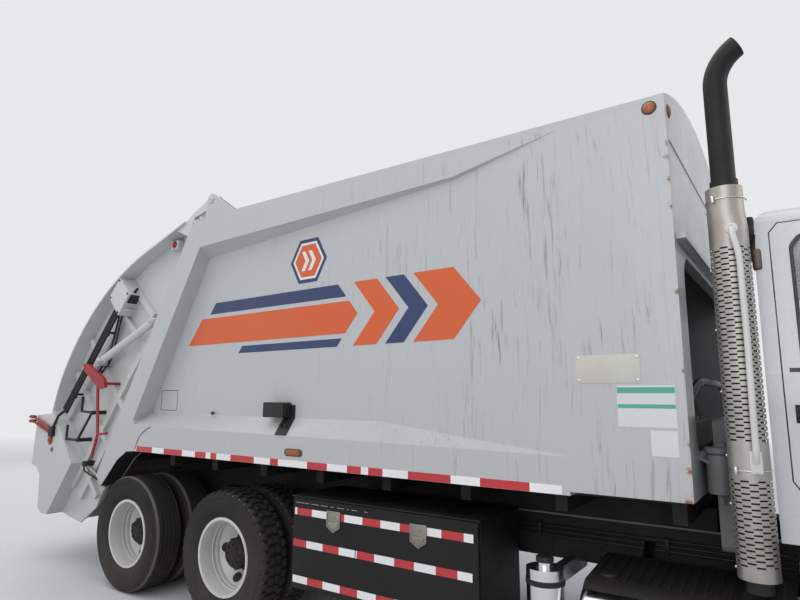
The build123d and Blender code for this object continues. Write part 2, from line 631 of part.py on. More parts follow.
cheek_face = face_y(arch_points(0) + WING + [(tail_front(990), 990), (tail_front(3400), 3400)])
band = arch_points(0) + arch_points(FLANGE_T)[::-1]
cheek = thick_y(cheek_face, TAIL_SHEET_IN, TAIL_SHEET_OUT)
lower_panel = [ARCH[-1]] + WING[:7] + [(-1120, 1060), (-1500, 1480), (-1630, 1600)]
# start x, start z, end x, end z, width
RIBS = [
    (tail_front(3300) - 45, 3300, tail_front(1020) - 45, 1020, 70),
    (-780, 2770, 20, 2130, 60),
    (-1180, 2370, -330, 1530, 60),
    (-1430, 2010, -620, 1200, 60),
    (-500, 2960, -20, 2550, 60),
    (-1560, 1500, -800, 740, 60),
    (-480, 2700, -1540, 1500, 60),
    (-60, 2330, -1300, 800, 60),
    (-250, 1800, -1130, 700, 60),
]
rib_face = strip(RIBS[0][:2], RIBS[0][2:4], RIBS[0][4])
for x0, z0, x1, z1, width in RIBS[1:]:
    rib_face += strip((x0, z0), (x1, z1), width)
cheek += thick_y(rib_face & cheek_face, TAIL_SHEET_OUT - IN_SHEET, TAIL_RIB_OUT)
cheek += slab_y(band, TAIL_SHEET_OUT - IN_SHEET, BODY_HALF)
cheek += slab_y(lower_panel, TAIL_SHEET_OUT - IN_SHEET, BODY_HALF)
ARM_SIDE = (BODY_HALF - 58, BODY_HALF - 23)
arm = [(575, 3400), (700, 3475), (hx - 0.5 * LUG_R, hz + 0.8 * LUG_R), (hx + 0.3 * LUG_R, hz - 0.9 * LUG_R),
       (780, 3438), (tail_front(3400), 3425)]
cheek += slab_y(arm, *ARM_SIDE) + shaft_y(hx, hz, LUG_R, *ARM_SIDE)
arm_foot = [(tail_front(3400) - 4, 3427), (575, 3400), (440, 3330), (tail_front(3250) - 10, 3250)]
cheek += slab_y(arm_foot, TAIL_SHEET_OUT - IN_SHEET, ARM_SIDE[1])
cheek -= shaft_y(hx, hz, HINGE_PIN_R + RUNNING_GAP, ARM_SIDE[0] - 1, ARM_SIDE[1] + 1)
rx, rz = LIFT_ROD_PIN
cheek += shaft_y(rx, rz, 40, TAIL_SHEET_OUT - 1, LIFT_Y - 42)
write("tailgate_side_left", cheek)
right_cheek = flip(cheek)
box_line = [(-480, 2975), (-280, 2790), (-460, 2580), (-660, 2780)]
valve_box = slab_y(box_line, -BODY_HALF + 2, -TAIL_SHEET_OUT + 1)
write("tailgate_side_right", right_cheek + valve_box)

# Tailgate cover between the sides
COVER_END_Z = 2330.0
cover_half = TAIL_SHEET_IN - SEAT
cover = slab_y(band, -cover_half, cover_half) - bar(-1800, 0, -BODY_HALF, BODY_HALF, 1500, COVER_END_Z)
lip = [(-1264, COVER_END_Z + 2), (-1140, 2360), (-1165, 2245), (-1285, 2250)]
cover += slab_y(lip, -cover_half, cover_half)
write("tailgate_cover", cover)

# Hopper floor: a round trough from the rear sill to the body floor
hcx, hcz = HOPPER_CENTRE


def hopper_point(r, angle):
    return (hcx + r * cos(radians(angle)), hcz + r * sin(radians(angle)))


TROUGH_ANGLES = (190.0, 345.0)
mid_angle = sum(TROUGH_ANGLES) / 2
inner_r = HOPPER_R - HOPPER_T
trough_stops = (TROUGH_ANGLES[0], mid_angle, TROUGH_ANGLES[1])
p = [hopper_point(HOPPER_R, angle) for angle in trough_stops]
q = [hopper_point(inner_r, angle) for angle in trough_stops]
trough_edges = [ThreePointArc(*p), Line(p[2], q[2]), ThreePointArc(q[2], q[1], q[0]), Line(q[0], p[0])]
HOPPER_HALF = TAIL_SHEET_IN - SEAT
trough = thick_y(make_face(Plane.XZ * Wire(trough_edges)), -HOPPER_HALF, HOPPER_HALF)
trough += bar(SILL_REAR + 5, -1925, -HOPPER_HALF, HOPPER_HALF, 985, 1085)
ramp_x, ramp_z = q[2]
ramp_top = FLOOR_TOP - 15
ramp = [
    (ramp_x, ramp_z - 2), (tail_front(ramp_z - 10), ramp_z - 10), (tail_front(ramp_top), ramp_top),
    (tail_front(ramp_top) - 30, ramp_top),
]
trough += slab_y(ramp, -HOPPER_HALF, HOPPER_HALF)
write("hopper_floor", trough)

# Packer carriage and sweep blade inside the tailgate
px, pz = PACKER_HINGE
slope = hypot(*PACKER_SLOPE)
slope_x, slope_z = PACKER_SLOPE[0] / slope, PACKER_SLOPE[1] / slope


def on_slope(along, across):
    """A point along the packer's slope from its hinge, and across it towards the body."""
    return (px + along * slope_x + across * slope_z, pz + along * slope_z - across * slope_x)


CARRIAGE_HALF = TAIL_SHEET_IN - 20
carriage_line = [(95, -40), (95, 40), (CARRIAGE_LENGTH, 40), (CARRIAGE_LENGTH, -40)]
carriage = slab_y([on_slope(*p) for p in carriage_line], -CARRIAGE_HALF, CARRIAGE_HALF)
BLADE_HALF = TAIL_SHEET_IN - 90
EAR_OUT = BLADE_HALF + 40
ear_line = [(-50, -30), (-50, 30), (110, 40), (110, -40)]
shoe_line = [(250, -30), (250, 30), (950, 30), (950, -30)]
ears = slab_y([on_slope(*p) for p in ear_line], BLADE_HALF + 10, EAR_OUT)
shoe = slab_y([on_slope(*p) for p in shoe_line], CARRIAGE_HALF, TAIL_SHEET_IN - SEAT)
carriage += pair(ears) + pair(shoe)
PACKER_PIN_R = 30.0
carriage += shaft_y(px, pz, PACKER_PIN_R, -EAR_OUT, EAR_OUT)
write("packer_carriage", carriage)
ba = radians(BLADE_ANGLE)
tip = (px + BLADE_LENGTH * cos(ba), pz + BLADE_LENGTH * sin(ba))
back = (sin(ba), -cos(ba))
# from the hinge or the tip, and how far off the blade's middle line
BLADE_LINE = [((px, pz), 30), (tip, 12), (tip, -25), ((px, pz), -45)]
blade_points = [(x + off * back[0], z + off * back[1]) for (x, z), off in BLADE_LINE]
blade = slab_y(blade_points, -BLADE_HALF, BLADE_HALF)
blade += shaft_y(px, pz, 58, -BLADE_HALF, BLADE_HALF)
blade -= shaft_y(px, pz, PACKER_PIN_R + RUNNING_GAP, -EAR_OUT, EAR_OUT)
write("packer_blade", blade)

# Tailgate lift cylinders
lx, lz = rx - bx, rz - bz
lift_length = hypot(lx, lz)
lx, lz = lx / lift_length, lz / lift_length


def on_lift(s, y=LIFT_Y):
    """A point on the lift cylinder's line, from its body pin."""
    return (bx + s * lx, y, bz + s * lz)


barrel = rod(on_lift(25), on_lift(lift_length - 75), LIFT_R) + shaft_y(bx, bz, 42, LIFT_Y - 34, LIFT_Y + 34)
barrel -= rod(on_lift(60), on_lift(lift_length), LIFT_ROD_R + 4)
gland = rod(on_lift(lift_length - 110), on_lift(lift_length - 75), LIFT_R)
gland -= rod(on_lift(lift_length - 130), on_lift(lift_length), LIFT_ROD_R + 0.5)
barrel += gland
barrel -= shaft_y(bx, bz, LIFT_PIN_R + RUNNING_GAP, LIFT_Y - 60, LIFT_Y + 60)
write("lift_barrels", pair(barrel))
lift_rod = rod(on_lift(70), on_lift(lift_length - 20), LIFT_ROD_R)
lift_rod += shaft_y(rx, rz, 42, LIFT_Y - 34, LIFT_Y + 34)
lift_rod += shaft_y(rx, rz, LIFT_PIN_R, LIFT_Y - 41, LIFT_Y + 38)
write("lift_rods", pair(lift_rod))

# Tailgate fittings on the right: control rods, levers and grab bars
fit_y = -(BODY_HALF - 24)
fittings = Part()
for shift in (-36, 0, 36):
    a = (-530 + shift * 0.76, fit_y, 2617 - shift * 0.65)
    b = (-1400 + shift * 0.76, fit_y, 1600 - shift * 0.65)
    fittings += rod(a, b, 15)
for stand_x in (-700, -1250):
    stand_z = 2640 + (stand_x + 510) * 1040 / 890
    fittings += shaft_y(stand_x, stand_z, 12, fit_y + 6, -TAIL_RIB_OUT - SEAT)
    clip = strip((stand_x - 40, stand_z + 34), (stand_x + 40, stand_z - 34), 30)
    fittings += thick_y(clip, fit_y + 6, fit_y + 18)
lever_y = -BODY_HALF - 22
fittings += rod((-1395, fit_y, 1606), (-1440, lever_y, 1545), 14)
fittings += rod((-1440, lever_y, 1550), (-1560, lever_y, 1390), 14)
fittings += bar(-1610, -1530, lever_y - 16, -BODY_HALF - SEAT, 1320, 1425)
for low_z, high_z in [(1400, 1520), (1350, 1472)]:
    fittings += rod((-1580, lever_y, low_z), (TAIL_REAR + 80, lever_y, high_z), 12)
    fittings += shaft_x(lever_y, high_z, 17, TAIL_REAR, TAIL_REAR + 120)
# two cranked handles and the link between them, in front of the ribs
GRIP_R = 13.0
grip_y = -(BODY_HALF - 20)
GRIP_RUNS = [
    [(-1040, 1750), (-1040, 1600), (-830, 1588)],
    [(-830, 1588), (-1075, 1300)],
    [(-1310, 1450), (-1310, 1300), (-1075, 1300)],
]
for run in GRIP_RUNS:
    for (x0, z0), (x1, z1) in zip(run, run[1:]):
        fittings += rod((x0, grip_y, z0), (x1, grip_y, z1), GRIP_R)
        fittings += Pos(x1, grip_y, z1) * Sphere(GRIP_R)
for stand_x, stand_z in [GRIP_RUNS[1][0], GRIP_RUNS[1][1]]:
    fittings += shaft_y(stand_x, stand_z, 20, grip_y - 10, -TAIL_SHEET_OUT + 5) - right_cheek
write("tailgate_fittings", fittings)

# Red prop on the right of the tailgate
prop_y = -(BODY_HALF + 13)
prop_line = [(-1010, 2100), (-970, 2020), (-640, 1830), (-540, 1850), (-570, 1930), (-900, 2090)]
prop = slab_y(prop_line, prop_y - 17, prop_y + 17)
for peg_x, peg_z in [(-905, 2020), (-600, 1885)]:
    prop += shaft_y(peg_x, peg_z, 14, prop_y, -TAIL_SHEET_OUT - SEAT)
prop += rod((-700, prop_y, 1860), (-620, prop_y, 1375), 15)
prop += rod((-620, prop_y, 1375), (-700, prop_y, 1150), 15)
prop += rod((-622, prop_y, 1378), (-450, prop_y, 1395), 13)
write("tailgate_prop", prop)

# Cab
def cab_block(inset):
    """The cab's outer form, drawn in by inset on every side."""
    belt_half, roof_half = CAB_HALF - inset, CAB_HALF - 95 - inset
    low, roof_z, corner = CAB_BOTTOM + inset, CAB_ROOF - inset, ROOF_CORNER_R - inset
    rear, front = CAB_REAR + inset, COWL_X - inset
    section = make_face(Plane.YZ * Polyline(
        (-belt_half, low), (-belt_half, CAB_BELT), (-roof_half, roof_z),
        (roof_half, roof_z), (belt_half, CAB_BELT), (belt_half, low), close=True,
    ))
    section = fillet([v for v in section.vertices() if v.Z > roof_z - 1], corner)
    profile = make_face(Plane.XZ * Polyline(
        (rear, low), (rear, roof_z), (front - 400, roof_z),
        (front - 40, CAB_BELT + 50 - inset * 0.3), (front, CAB_BELT - 80), (front, low), close=True,
    ))
    profile = fillet([v for v in profile.vertices() if v.Z > roof_z - 1], corner)
    across = Pos(CAB_REAR - 10, 0, 0) * extrude(section, amount=COWL_X - CAB_REAR + 20, dir=(1, 0, 0))
    return across & (Pos(0, -CAB_HALF - 10, 0) * extrude(profile, amount=2 * CAB_HALF + 20, dir=(0, 1, 0)))


shell = cab_block(0) - cab_block(CAB_WALL)
DOOR_TOP = CAB_ROOF - 90
SASH_LOW = CAB_BELT + 50
SASH_TOP = DOOR_TOP - 80
DOOR = [
    (DOOR_REAR, 1390), (DOOR_REAR, DOOR_TOP - 50), (DOOR_REAR + 40, DOOR_TOP), (DOOR_FRONT - 250, DOOR_TOP),
    (DOOR_FRONT, SASH_LOW + 60), (DOOR_FRONT, CAB_BOTTOM + 90), (DOOR_REAR + 120, CAB_BOTTOM + 90),
]


def inset_polygon(points, gap):
    """A polygon's outline drawn in by gap."""
    face = make_face(Plane.XZ * Polyline(*points, close=True))
    return offset(face, amount=-gap, kind=Kind.INTERSECTION) if gap else face


def door_prism(gap, y0, y1):
    """The door's outline drawn in by gap, from y0 to y1."""
    return thick_y(inset_polygon(DOOR, gap), y0, y1)


DOOR_IN = CAB_HALF - 180
shell -= pair(door_prism(0, DOOR_IN, CAB_HALF + 20))
SCREEN_Z = (CAB_BELT + 80, CAB_ROOF - 130)
REAR_Z = (CAB_BELT + 70, CAB_ROOF - 290)


def window_line(low_half, high_half, low, high, gap=0):
    """A window's outline of (y, z) points, drawn in by gap."""
    low_half, high_half, low, high = low_half - gap, high_half - gap, low + gap, high - gap
    return [(-low_half, low), (low_half, low), (high_half, high), (-high_half, high)]


screen_x = COWL_X - 480
screen_hole = slab_x(window_line(830, 770, *SCREEN_Z), screen_x, COWL_X + 20)
shell -= screen_hole
rear_hole = slab_x(window_line(600, 560, *REAR_Z), CAB_REAR - 20, CAB_REAR + 80)
shell -= rear_hole
shell += pair(bar(CAB_REAR + 100, COWL_X - 100, 345, 430, RAIL_TOP + SEAT, CAB_BOTTOM + 5))
DOOR_HINGE_Y = CAB_HALF + DOOR_HINGE_R + 3
DOOR_HINGE_Z = (CAB_BOTTOM + 210, CAB_BELT - 150)
HINGE_KNUCKLE = 26.0
for z in DOOR_HINGE_Z:
    for low in (z, z + 2 * HINGE_KNUCKLE + 2 * SEAT):
        hinge = shaft_z(DOOR_FRONT, DOOR_HINGE_Y, DOOR_HINGE_R, low, low + HINGE_KNUCKLE)
        hinge += bar(DOOR_FRONT, DOOR_FRONT + 70, CAB_HALF - 5, CAB_HALF + 8, low, low + HINGE_KNUCKLE)
        shell += pair(hinge)
write("cab_shell", shell)
glass_layer = cab_block(18) - cab_block(24)
screen = glass_layer & slab_x(window_line(830, 770, *SCREEN_Z, 1), screen_x, COWL_X + 20)
rear_pane = slab_x(window_line(600, 560, *REAR_Z, 1), CAB_REAR + 18, CAB_REAR + 24)
write("cab_glass", screen + rear_pane)

WINDOW = [
    (DOOR_REAR + 90, SASH_LOW), (DOOR_REAR + 90, SASH_TOP - 50), (DOOR_REAR + 130, SASH_TOP),
    (DOOR_FRONT - 320, SASH_TOP), (DOOR_FRONT - 95, SASH_LOW + 60), (DOOR_FRONT - 110, SASH_LOW),
]
door = (cab_block(0) - cab_block(CAB_WALL - 2)) & door_prism(DOOR_GAP, DOOR_IN + 1, CAB_HALF + 20)
window_cut = slab_y(WINDOW, DOOR_IN, CAB_HALF + 20)
door -= window_cut
pane = glass_layer & thick_y(inset_polygon(WINDOW, SEAT), DOOR_IN, DOOR_IN + 200)
MIRROR_Y = CAB_HALF + 260
MIRROR_X = DOOR_FRONT - 120
MIRROR_Z = (CAB_BELT + 50, CAB_ROOF - 290)
mirror_head = bar(MIRROR_X - 40, MIRROR_X + 30, CAB_HALF + 170, CAB_HALF + 370, *MIRROR_Z)
mirror_head = fillet(mirror_head.edges().filter_by(Axis.Z), 25)
low_z, high_z = MIRROR_Z[0] - 60, MIRROR_Z[1] + 70
arms = rod((MIRROR_X + 30, CAB_HALF - 20, low_z - 20), (MIRROR_X, MIRROR_Y, low_z + 10), 14)
arms += rod((MIRROR_X, MIRROR_Y, low_z), (MIRROR_X, MIRROR_Y, high_z), 14)
arms += rod((MIRROR_X - 100, CAB_HALF - 75, high_z - 60), (MIRROR_X, MIRROR_Y, high_z - 10), 14)
handle = bar(DOOR_REAR + 50, DOOR_REAR + 190, CAB_HALF - 5, CAB_HALF + 30, CAB_BELT - 190, CAB_BELT - 155)
door += mirror_head + arms + handle
for z in DOOR_HINGE_Z:
    low, high = z + HINGE_KNUCKLE + SEAT, z + 2 * HINGE_KNUCKLE + SEAT
    door += shaft_z(DOOR_FRONT, DOOR_HINGE_Y, DOOR_HINGE_R, low, high)
    leaf = bar(DOOR_FRONT - 70, DOOR_FRONT, CAB_HALF - 5, CAB_HALF + 8, low, high)
    door += leaf - bar(DOOR_FRONT - DOOR_GAP, DOOR_FRONT + 1, 0, CAB_HALF + 2, low, high)
write("door_left", door)
write("door_right", flip(door))
write("door_glass_left", pane)
write("door_glass_right", flip(pane))

seat = bar(CAB_REAR + 170, CAB_REAR + 650, 260, 740, 1420, 1560)
seat += bar(CAB_REAR + 130, CAB_REAR + 270, 260, 740, 1560, 2150)
seat += bar(CAB_REAR + 250, CAB_REAR + 570, 320, 680, CAB_BOTTOM + CAB_WALL + SEAT, 1420)
write("seats", pair(seat))
dash_x = COWL_X - CAB_WALL - SEAT
dash_line = [
    (COWL_X - 210, CAB_BOTTOM + 200), (dash_x, CAB_BOTTOM + 200), (dash_x, CAB_BELT - 120),
    (COWL_X - 130, CAB_BELT - 80), (COWL_X - 320, CAB_BELT - 140), (COWL_X - 340, CAB_BELT - 260),
]
dash = slab_y(dash_line, -CAB_HALF + 200, CAB_HALF - 200)
column_top = (COWL_X - 460, 500, CAB_BELT - 80)
dash += rod((COWL_X - 270, 500, CAB_BELT - 200), column_top, 22)
wheel_plane = Plane(origin=column_top, z_dir=(-0.84, 0, 0.54))
dash += wheel_plane * Torus(210, 14) + wheel_plane * Box(410, 24, 14) + wheel_plane * Cylinder(50, 40)
write("dashboard", dash)

# Hood with its fenders, and the grille with its lamps
def hood_section(x, half_w, low, top, corner):
    """The hood's section at x: straight sides and a rounded top."""
    bow = corner * (1 - sqrt(0.5))
    return make_face(Wire([
        Line((x, -half_w, low), (x, -half_w, top - corner)),
        ThreePointArc((x, -half_w, top - corner), (x, -half_w + bow, top - bow), (x, -half_w + corner, top)),
        Line((x, -half_w + corner, top), (x, half_w - corner, top)),
        ThreePointArc((x, half_w - corner, top), (x, half_w - bow, top - bow), (x, half_w, top - corner)),
        Line((x, half_w, top - corner), (x, half_w, low)),
        Line((x, half_w, low), (x, -half_w, low)),
    ]))


# x, half width, lowest z, top z, corner
fender_rear = COWL_X + HOOD_GAP
HOOD_STATIONS = [
    (fender_rear, CAB_HALF - 100, 1120.0, CAB_BELT - 50, 160.0),
    (HOOD_FRONT - 650, 800.0, 1120.0, CAB_BELT - 140, 170.0),
    (HOOD_FRONT, 640.0, 900.0, CAB_BELT - 320, 180.0),
]
HOOD_SKIN = 28.0
HOLLOW_STATIONS = [
    (x, wide - HOOD_SKIN, low - 60, top - HOOD_SKIN, corner - 8) for x, wide, low, top, corner in HOOD_STATIONS
]
HOLLOW_STATIONS[0] = (fender_rear - 5, *HOLLOW_STATIONS[0][1:])
HOLLOW_STATIONS[2] = (HOOD_FRONT - 70, 625.0, 840.0, CAB_BELT - 335, 172.0)
hollow = loft([hood_section(*s) for s in HOLLOW_STATIONS], ruled=True)
hood = loft([hood_section(*s) for s in HOOD_STATIONS], ruled=True) - hollow
GRILLE = [(-430, 960), (430, 960), (400, 1430), (-400, 1430)]
hood -= slab_x(GRILLE, HOOD_FRONT - 200, HOOD_FRONT + 10)
ARCH_R = 665.0
FENDER_T = 30.0
FENDER_OUT = BODY_HALF - 5
fx, fz = FRONT_AXLE_X, HUB_HIGH + 20


def fender_face(skin, heel_z, toe_z):
    """The fender from the side, drawn in by skin: straight rear edge, crest over the wheel, nose."""
    heel = (fender_rear + skin, 1190 - skin)
    crest = (fx - 60, 1372 - skin)
    brow = (fx + 600, 1262 - skin)
    nose = (fx + 820 - skin, 1085 - skin)
    toe = (fx + 900 - skin, toe_z)
    foot = (heel[0], heel_z)
    edges = [Line(foot, heel), ThreePointArc(heel, crest, brow), ThreePointArc(brow, nose, toe), Line(toe, foot)]
    return make_face(Plane.XZ * Wire(edges))


fender = thick_y(fender_face(0, 930, 860), 640, FENDER_OUT)
fender -= shaft_y(fx, fz, ARCH_R, 500, FENDER_OUT + 50)
fender -= thick_y(fender_face(FENDER_T, 700, 700), 600, FENDER_OUT - FENDER_T)
# headlamp housings in the fenders' noses, each with a shallow seat for its lens
HEADLAMP_Y = (745.0, 1060.0)
HEADLAMP_Z = (945.0, 1140.0)
HEADLAMP_RIM = 18.0
headlamp_x = HOOD_FRONT - 55
housing = bar(headlamp_x - 255, headlamp_x, *HEADLAMP_Y, *HEADLAMP_Z)
housing = fillet(housing.edges().filter_by(Axis.X), 45)
lens_seat = bar(
    headlamp_x - 14, headlamp_x + 5, HEADLAMP_Y[0] + HEADLAMP_RIM, HEADLAMP_Y[1] - HEADLAMP_RIM,
    HEADLAMP_Z[0] + HEADLAMP_RIM, HEADLAMP_Z[1] - HEADLAMP_RIM,
)
housing -= fillet(lens_seat.edges().filter_by(Axis.X), 30)
fender += housing
fender -= hollow
hood += pair(fender)
lug = bar(pivot_x - HOOD_EAR_R, pivot_x + 20, 562, 578, pivot_z, 920)
lug += shaft_y(pivot_x, pivot_z, HOOD_EAR_R, 562, 578)
lug += Pos(0, 60, 0) * lug
hood += pair(lug + shaft_y(pivot_x, pivot_z, HOOD_PIN_R, 562, 638))
write("hood", hood)
grille = Part()
for i in range(9):
    z = 985 + i * 50
    grille += bar(HOOD_FRONT - 60, HOOD_FRONT - 20, -425 + i * 3, 425 - i * 3, z, z + 16)
post_line = [(429.7, 960.3), (399.7, 1429.7), (391.7, 1429.7), (421.7, 960.3)]
grille += pair(slab_x(post_line, HOOD_FRONT - 70, HOOD_FRONT - 10))
grille += bar(HOOD_FRONT - 70, HOOD_FRONT - 10, -8, 8, 960.3, 1429.7)
write("grille", grille)

# Exhaust stack behind the cab: a pipe with an open, forward curved tip, on a post
BEND_Z = 3370.0
tip_middle = (STACK_X + 30, STACK_Y, BEND_Z + 115)
tip_end = (STACK_X + 115, STACK_Y, BEND_Z + 200)
tip = ThreePointArc((STACK_X, STACK_Y, BEND_Z), tip_middle, tip_end)
mouth = Plane(origin=(STACK_X, STACK_Y, BEND_Z), z_dir=(0, 0, 1))
pipe = sweep(mouth * Circle(STACK_R), path=tip) - sweep(mouth * Circle(STACK_R - STACK_WALL), path=tip)
pipe += shaft_z(STACK_X, STACK_Y, STACK_R, 900, BEND_Z)
POST_Y = (STACK_Y + 85, STACK_Y + 135)
pipe += bar(STACK_X - 45, STACK_X + 45, STACK_Y + 45, -RAIL_OUT_Y - SEAT, 900, 970)
pipe += bar(STACK_X - 25, STACK_X + 25, *POST_Y, 970, SHIELD_Z[1] - 60)
for clamp_z in (1520.0, 2460.0):
    pipe += bar(STACK_X - 25, STACK_X + 25, STACK_Y + 45, POST_Y[1] - 10, clamp_z - 20, clamp_z + 20)
pipe += shaft_z(STACK_X, STACK_Y, STACK_R + 7, SHIELD_Z[1] + 5, SHIELD_Z[1] + 45)
write("exhaust_pipe", pipe)
shell_half = bar(
    STACK_X - 2 * SHIELD_R, STACK_X + 2 * SHIELD_R, STACK_Y - 2 * SHIELD_R, STACK_Y + 10,
    SHIELD_Z[0] - 10, SHIELD_Z[1] + 10,
)
shield = shaft_z(STACK_X, STACK_Y, SHIELD_R, *SHIELD_Z)
shield -= shaft_z(STACK_X, STACK_Y, SHIELD_R - SHIELD_T, *SHIELD_Z)
standoff = shaft_z(STACK_X, STACK_Y, SHIELD_R - 1, 2000, 2010)
standoff -= shaft_z(STACK_X, STACK_Y, STACK_R + SEAT, 1990, 2020)
standoff &= bar(STACK_X - 40, STACK_X + 40, STACK_Y - SHIELD_R, STACK_Y, 1990, 2020)
write("exhaust_shield", (shield & shell_half) + standoff)

# Fuel tanks with straps, the small tank on the right, and the battery box and air tank on the left
TANK_R = 290.0
TANK_AXIS = (880.0, 500.0)
rail_face = RAIL_OUT_Y + SEAT
tank = shaft_x(*TANK_AXIS, TANK_R, 4170, 5450)
tank = fillet(tank.edges(), 40)
saddle = [(rail_face, 760), (rail_face, 930), (620, 760), (590, 600), (600, 380), (520, 380), (rail_face, 720)]
for strap_x in (4420, 5200):
    tank += shaft_x(*TANK_AXIS, TANK_R + 6, strap_x - 30, strap_x + 30)
    tank += slab_x(saddle, strap_x - 30, strap_x + 30)
small = shaft_z(3990, -1080, 105, 420, 830) + shaft_z(3990, -1080, 45, 830, 860)
small += bar(3960, 4020, -1010, -rail_face, 700, 790)
battery_box = bar(3330, 3960, rail_face, 1050, 560, 930)
battery_box = fillet(battery_box.edges().filter_by(Axis.X), 25)
AIR_TANK_R = 120.0
air_tank = shaft_x(600, 600, AIR_TANK_R, 2250, 3180)
air_tank = fillet(air_tank.edges(), 40)
for strap_x in (2420, 3010):
    air_tank += bar(strap_x - 20, strap_x + 20, rail_face, 520, 640, 800)
write("tanks", pair(tank) + small + battery_box + air_tank)

# Cab steps above the tanks
step = bar(5480, 6060, 1000, 1180, 540, 575) + bar(5480, 6060, 1020, 1180, 860, 895)
step += bar(5480, 5500, 760, 1180, 480, 1000) + bar(6040, 6060, 760, 1180, 480, 1000)
step += bar(5480, 6060, rail_face, 780, 760, 940)
write("cab_steps", pair(step))

# Toolbox on the right, with its drop door
TOOL_X = (2140.0, 3650.0)
TOOL_Y = (-BODY_HALF, -660.0)
TOOL_Z = (425.0, 1050.0)
TOOL_SHEET = 15.0
toolbox = bar(*TOOL_X, TOOL_Y[0] + 25, TOOL_Y[1], *TOOL_Z)
toolbox -= bar(
    TOOL_X[0] + TOOL_SHEET, TOOL_X[1] - TOOL_SHEET, TOOL_Y[0] - 10, TOOL_Y[1] - TOOL_SHEET,
    TOOL_Z[0] + TOOL_SHEET, TOOL_Z[1] - TOOL_SHEET,
)
for bracket_x in (2400, 3350):
    toolbox += bar(bracket_x - 40, bracket_x + 40, TOOL_Y[1] - 1, -rail_face, 760, 960)
toolbox += bar(TOOL_X[0] - 10, TOOL_X[1] + 10, TOOL_Y[0], TOOL_Y[1], TOOL_Z[1] - 2, TOOL_Z[1] + 8)
DROP_AXIS = (TOOL_Y[0] + 14, TOOL_Z[0] + 6)
DROP_R = 6.0
DROP_HINGES = [TOOL_X[0] + 260, (TOOL_X[0] + TOOL_X[1]) / 2, TOOL_X[1] - 260]
lid = bar(TOOL_X[0] + 8, TOOL_X[1] - 8, TOOL_Y[0] + 3, TOOL_Y[0] + 24.5, TOOL_Z[0] + 6, TOOL_Z[1] - 8)
for hinge_x in DROP_HINGES:
    toolbox += shaft_x(*DROP_AXIS, DROP_R, hinge_x - 60, hinge_x - SEAT)
    toolbox += bar(hinge_x - 60, hinge_x - SEAT, DROP_AXIS[0], TOOL_Y[0] + 32, TOOL_Z[0], TOOL_Z[0] + 5)
    lid -= bar(hinge_x - 62, hinge_x, TOOL_Y[0], TOOL_Y[0] + 30, TOOL_Z[0], DROP_AXIS[1] + DROP_R + 3)
    lid += shaft_x(*DROP_AXIS, DROP_R, hinge_x, hinge_x + 60)
write("toolbox", toolbox)
LATCH_X = [TOOL_X[0] + 390, TOOL_X[1] - 425]
for latch_x in LATCH_X:
    lid += bar(latch_x - 55, latch_x + 55, TOOL_Y[0] - 2, TOOL_Y[0] + 4, 860, 980)
write("toolbox_door", lid)

# Hydraulic reservoir behind the cab
reservoir = bar(4860, 4960, -880, 880, RAIL_TOP + SEAT, 1650)
reservoir = fillet(reservoir.edges().filter_by(Axis.X), 40)
write("reservoir", reservoir)
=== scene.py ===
"""Finishes and fine pieces of a rear loader garbage truck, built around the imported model."""
import logging
import math
from collections.abc import Sequence
from dataclasses import dataclass
from enum import Enum

import bpy
from mathutils import Matrix, Vector


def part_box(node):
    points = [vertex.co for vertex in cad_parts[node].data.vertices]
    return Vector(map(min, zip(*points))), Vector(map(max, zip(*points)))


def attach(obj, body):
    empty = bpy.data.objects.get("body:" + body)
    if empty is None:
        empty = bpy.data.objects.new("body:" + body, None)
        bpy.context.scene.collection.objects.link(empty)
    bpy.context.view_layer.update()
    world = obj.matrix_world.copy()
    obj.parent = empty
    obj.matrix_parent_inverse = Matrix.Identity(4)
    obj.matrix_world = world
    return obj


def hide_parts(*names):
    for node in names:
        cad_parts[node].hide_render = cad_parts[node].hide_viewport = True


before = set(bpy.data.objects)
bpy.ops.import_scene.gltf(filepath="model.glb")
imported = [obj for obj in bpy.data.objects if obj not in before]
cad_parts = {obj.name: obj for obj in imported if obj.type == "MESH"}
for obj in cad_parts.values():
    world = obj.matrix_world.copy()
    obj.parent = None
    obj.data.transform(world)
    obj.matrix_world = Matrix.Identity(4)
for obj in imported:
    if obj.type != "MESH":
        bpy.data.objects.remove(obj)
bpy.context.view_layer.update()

Object = bpy.types.Object
Material = bpy.types.Material
Pair = tuple[float, float]
Point = tuple[float, float, float]
Colour = tuple[float, float, float]
TapeRow = tuple[float, float, tuple[float, ...], str]

log = logging.getLogger("truck")

# The row frame has its origin at mid length.
# Lengths below are from the rearmost axle, as on the chassis drawing.
REAR_AXLE_X = (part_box("rims_rear_left")[0][0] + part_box("rims_rear_left")[1][0]) / 2
BODY_SIDE_Y = -1.22
FRONT_WALL = 4.8
RECESS_DEPTH = 0.18
RECESS_END = 4.2
SIDES = ((-1, "right"), (1, "left"))

# How the modelling helpers round, bend and merge, in degrees, facets, shares and metres
SHARP_ANGLE = 35.0
BEND_FACETS = 4
BEND_SHARE = 0.45
DOME_FACETS = 28
SAME_PLACE = 0.00005


class Along(Enum):
    """The axis that a plate faces or a round piece turns about."""

    X = 0
    Y = 1
    Z = 2

    @property
    def vector(self) -> Vector:
        """The unit vector along this axis."""
        return Vector([1.0 if i == self.value else 0.0 for i in range(3)])


def at(along: float, across: float, up: float) -> Vector:
    """A point in the row frame.

    Args:
        along: metres ahead of the rearmost axle.
        across: metres to the left of the middle.
        up: metres above the ground.

    Returns:
        The same place in the row frame.
    """
    return Vector((along + REAR_AXLE_X, across, up))


def recess_y(along: float) -> float:
    """How far across the right side's sloping panel lies at a length."""
    return BODY_SIDE_Y + RECESS_DEPTH * max(0.0, RECESS_END - along) / RECESS_END


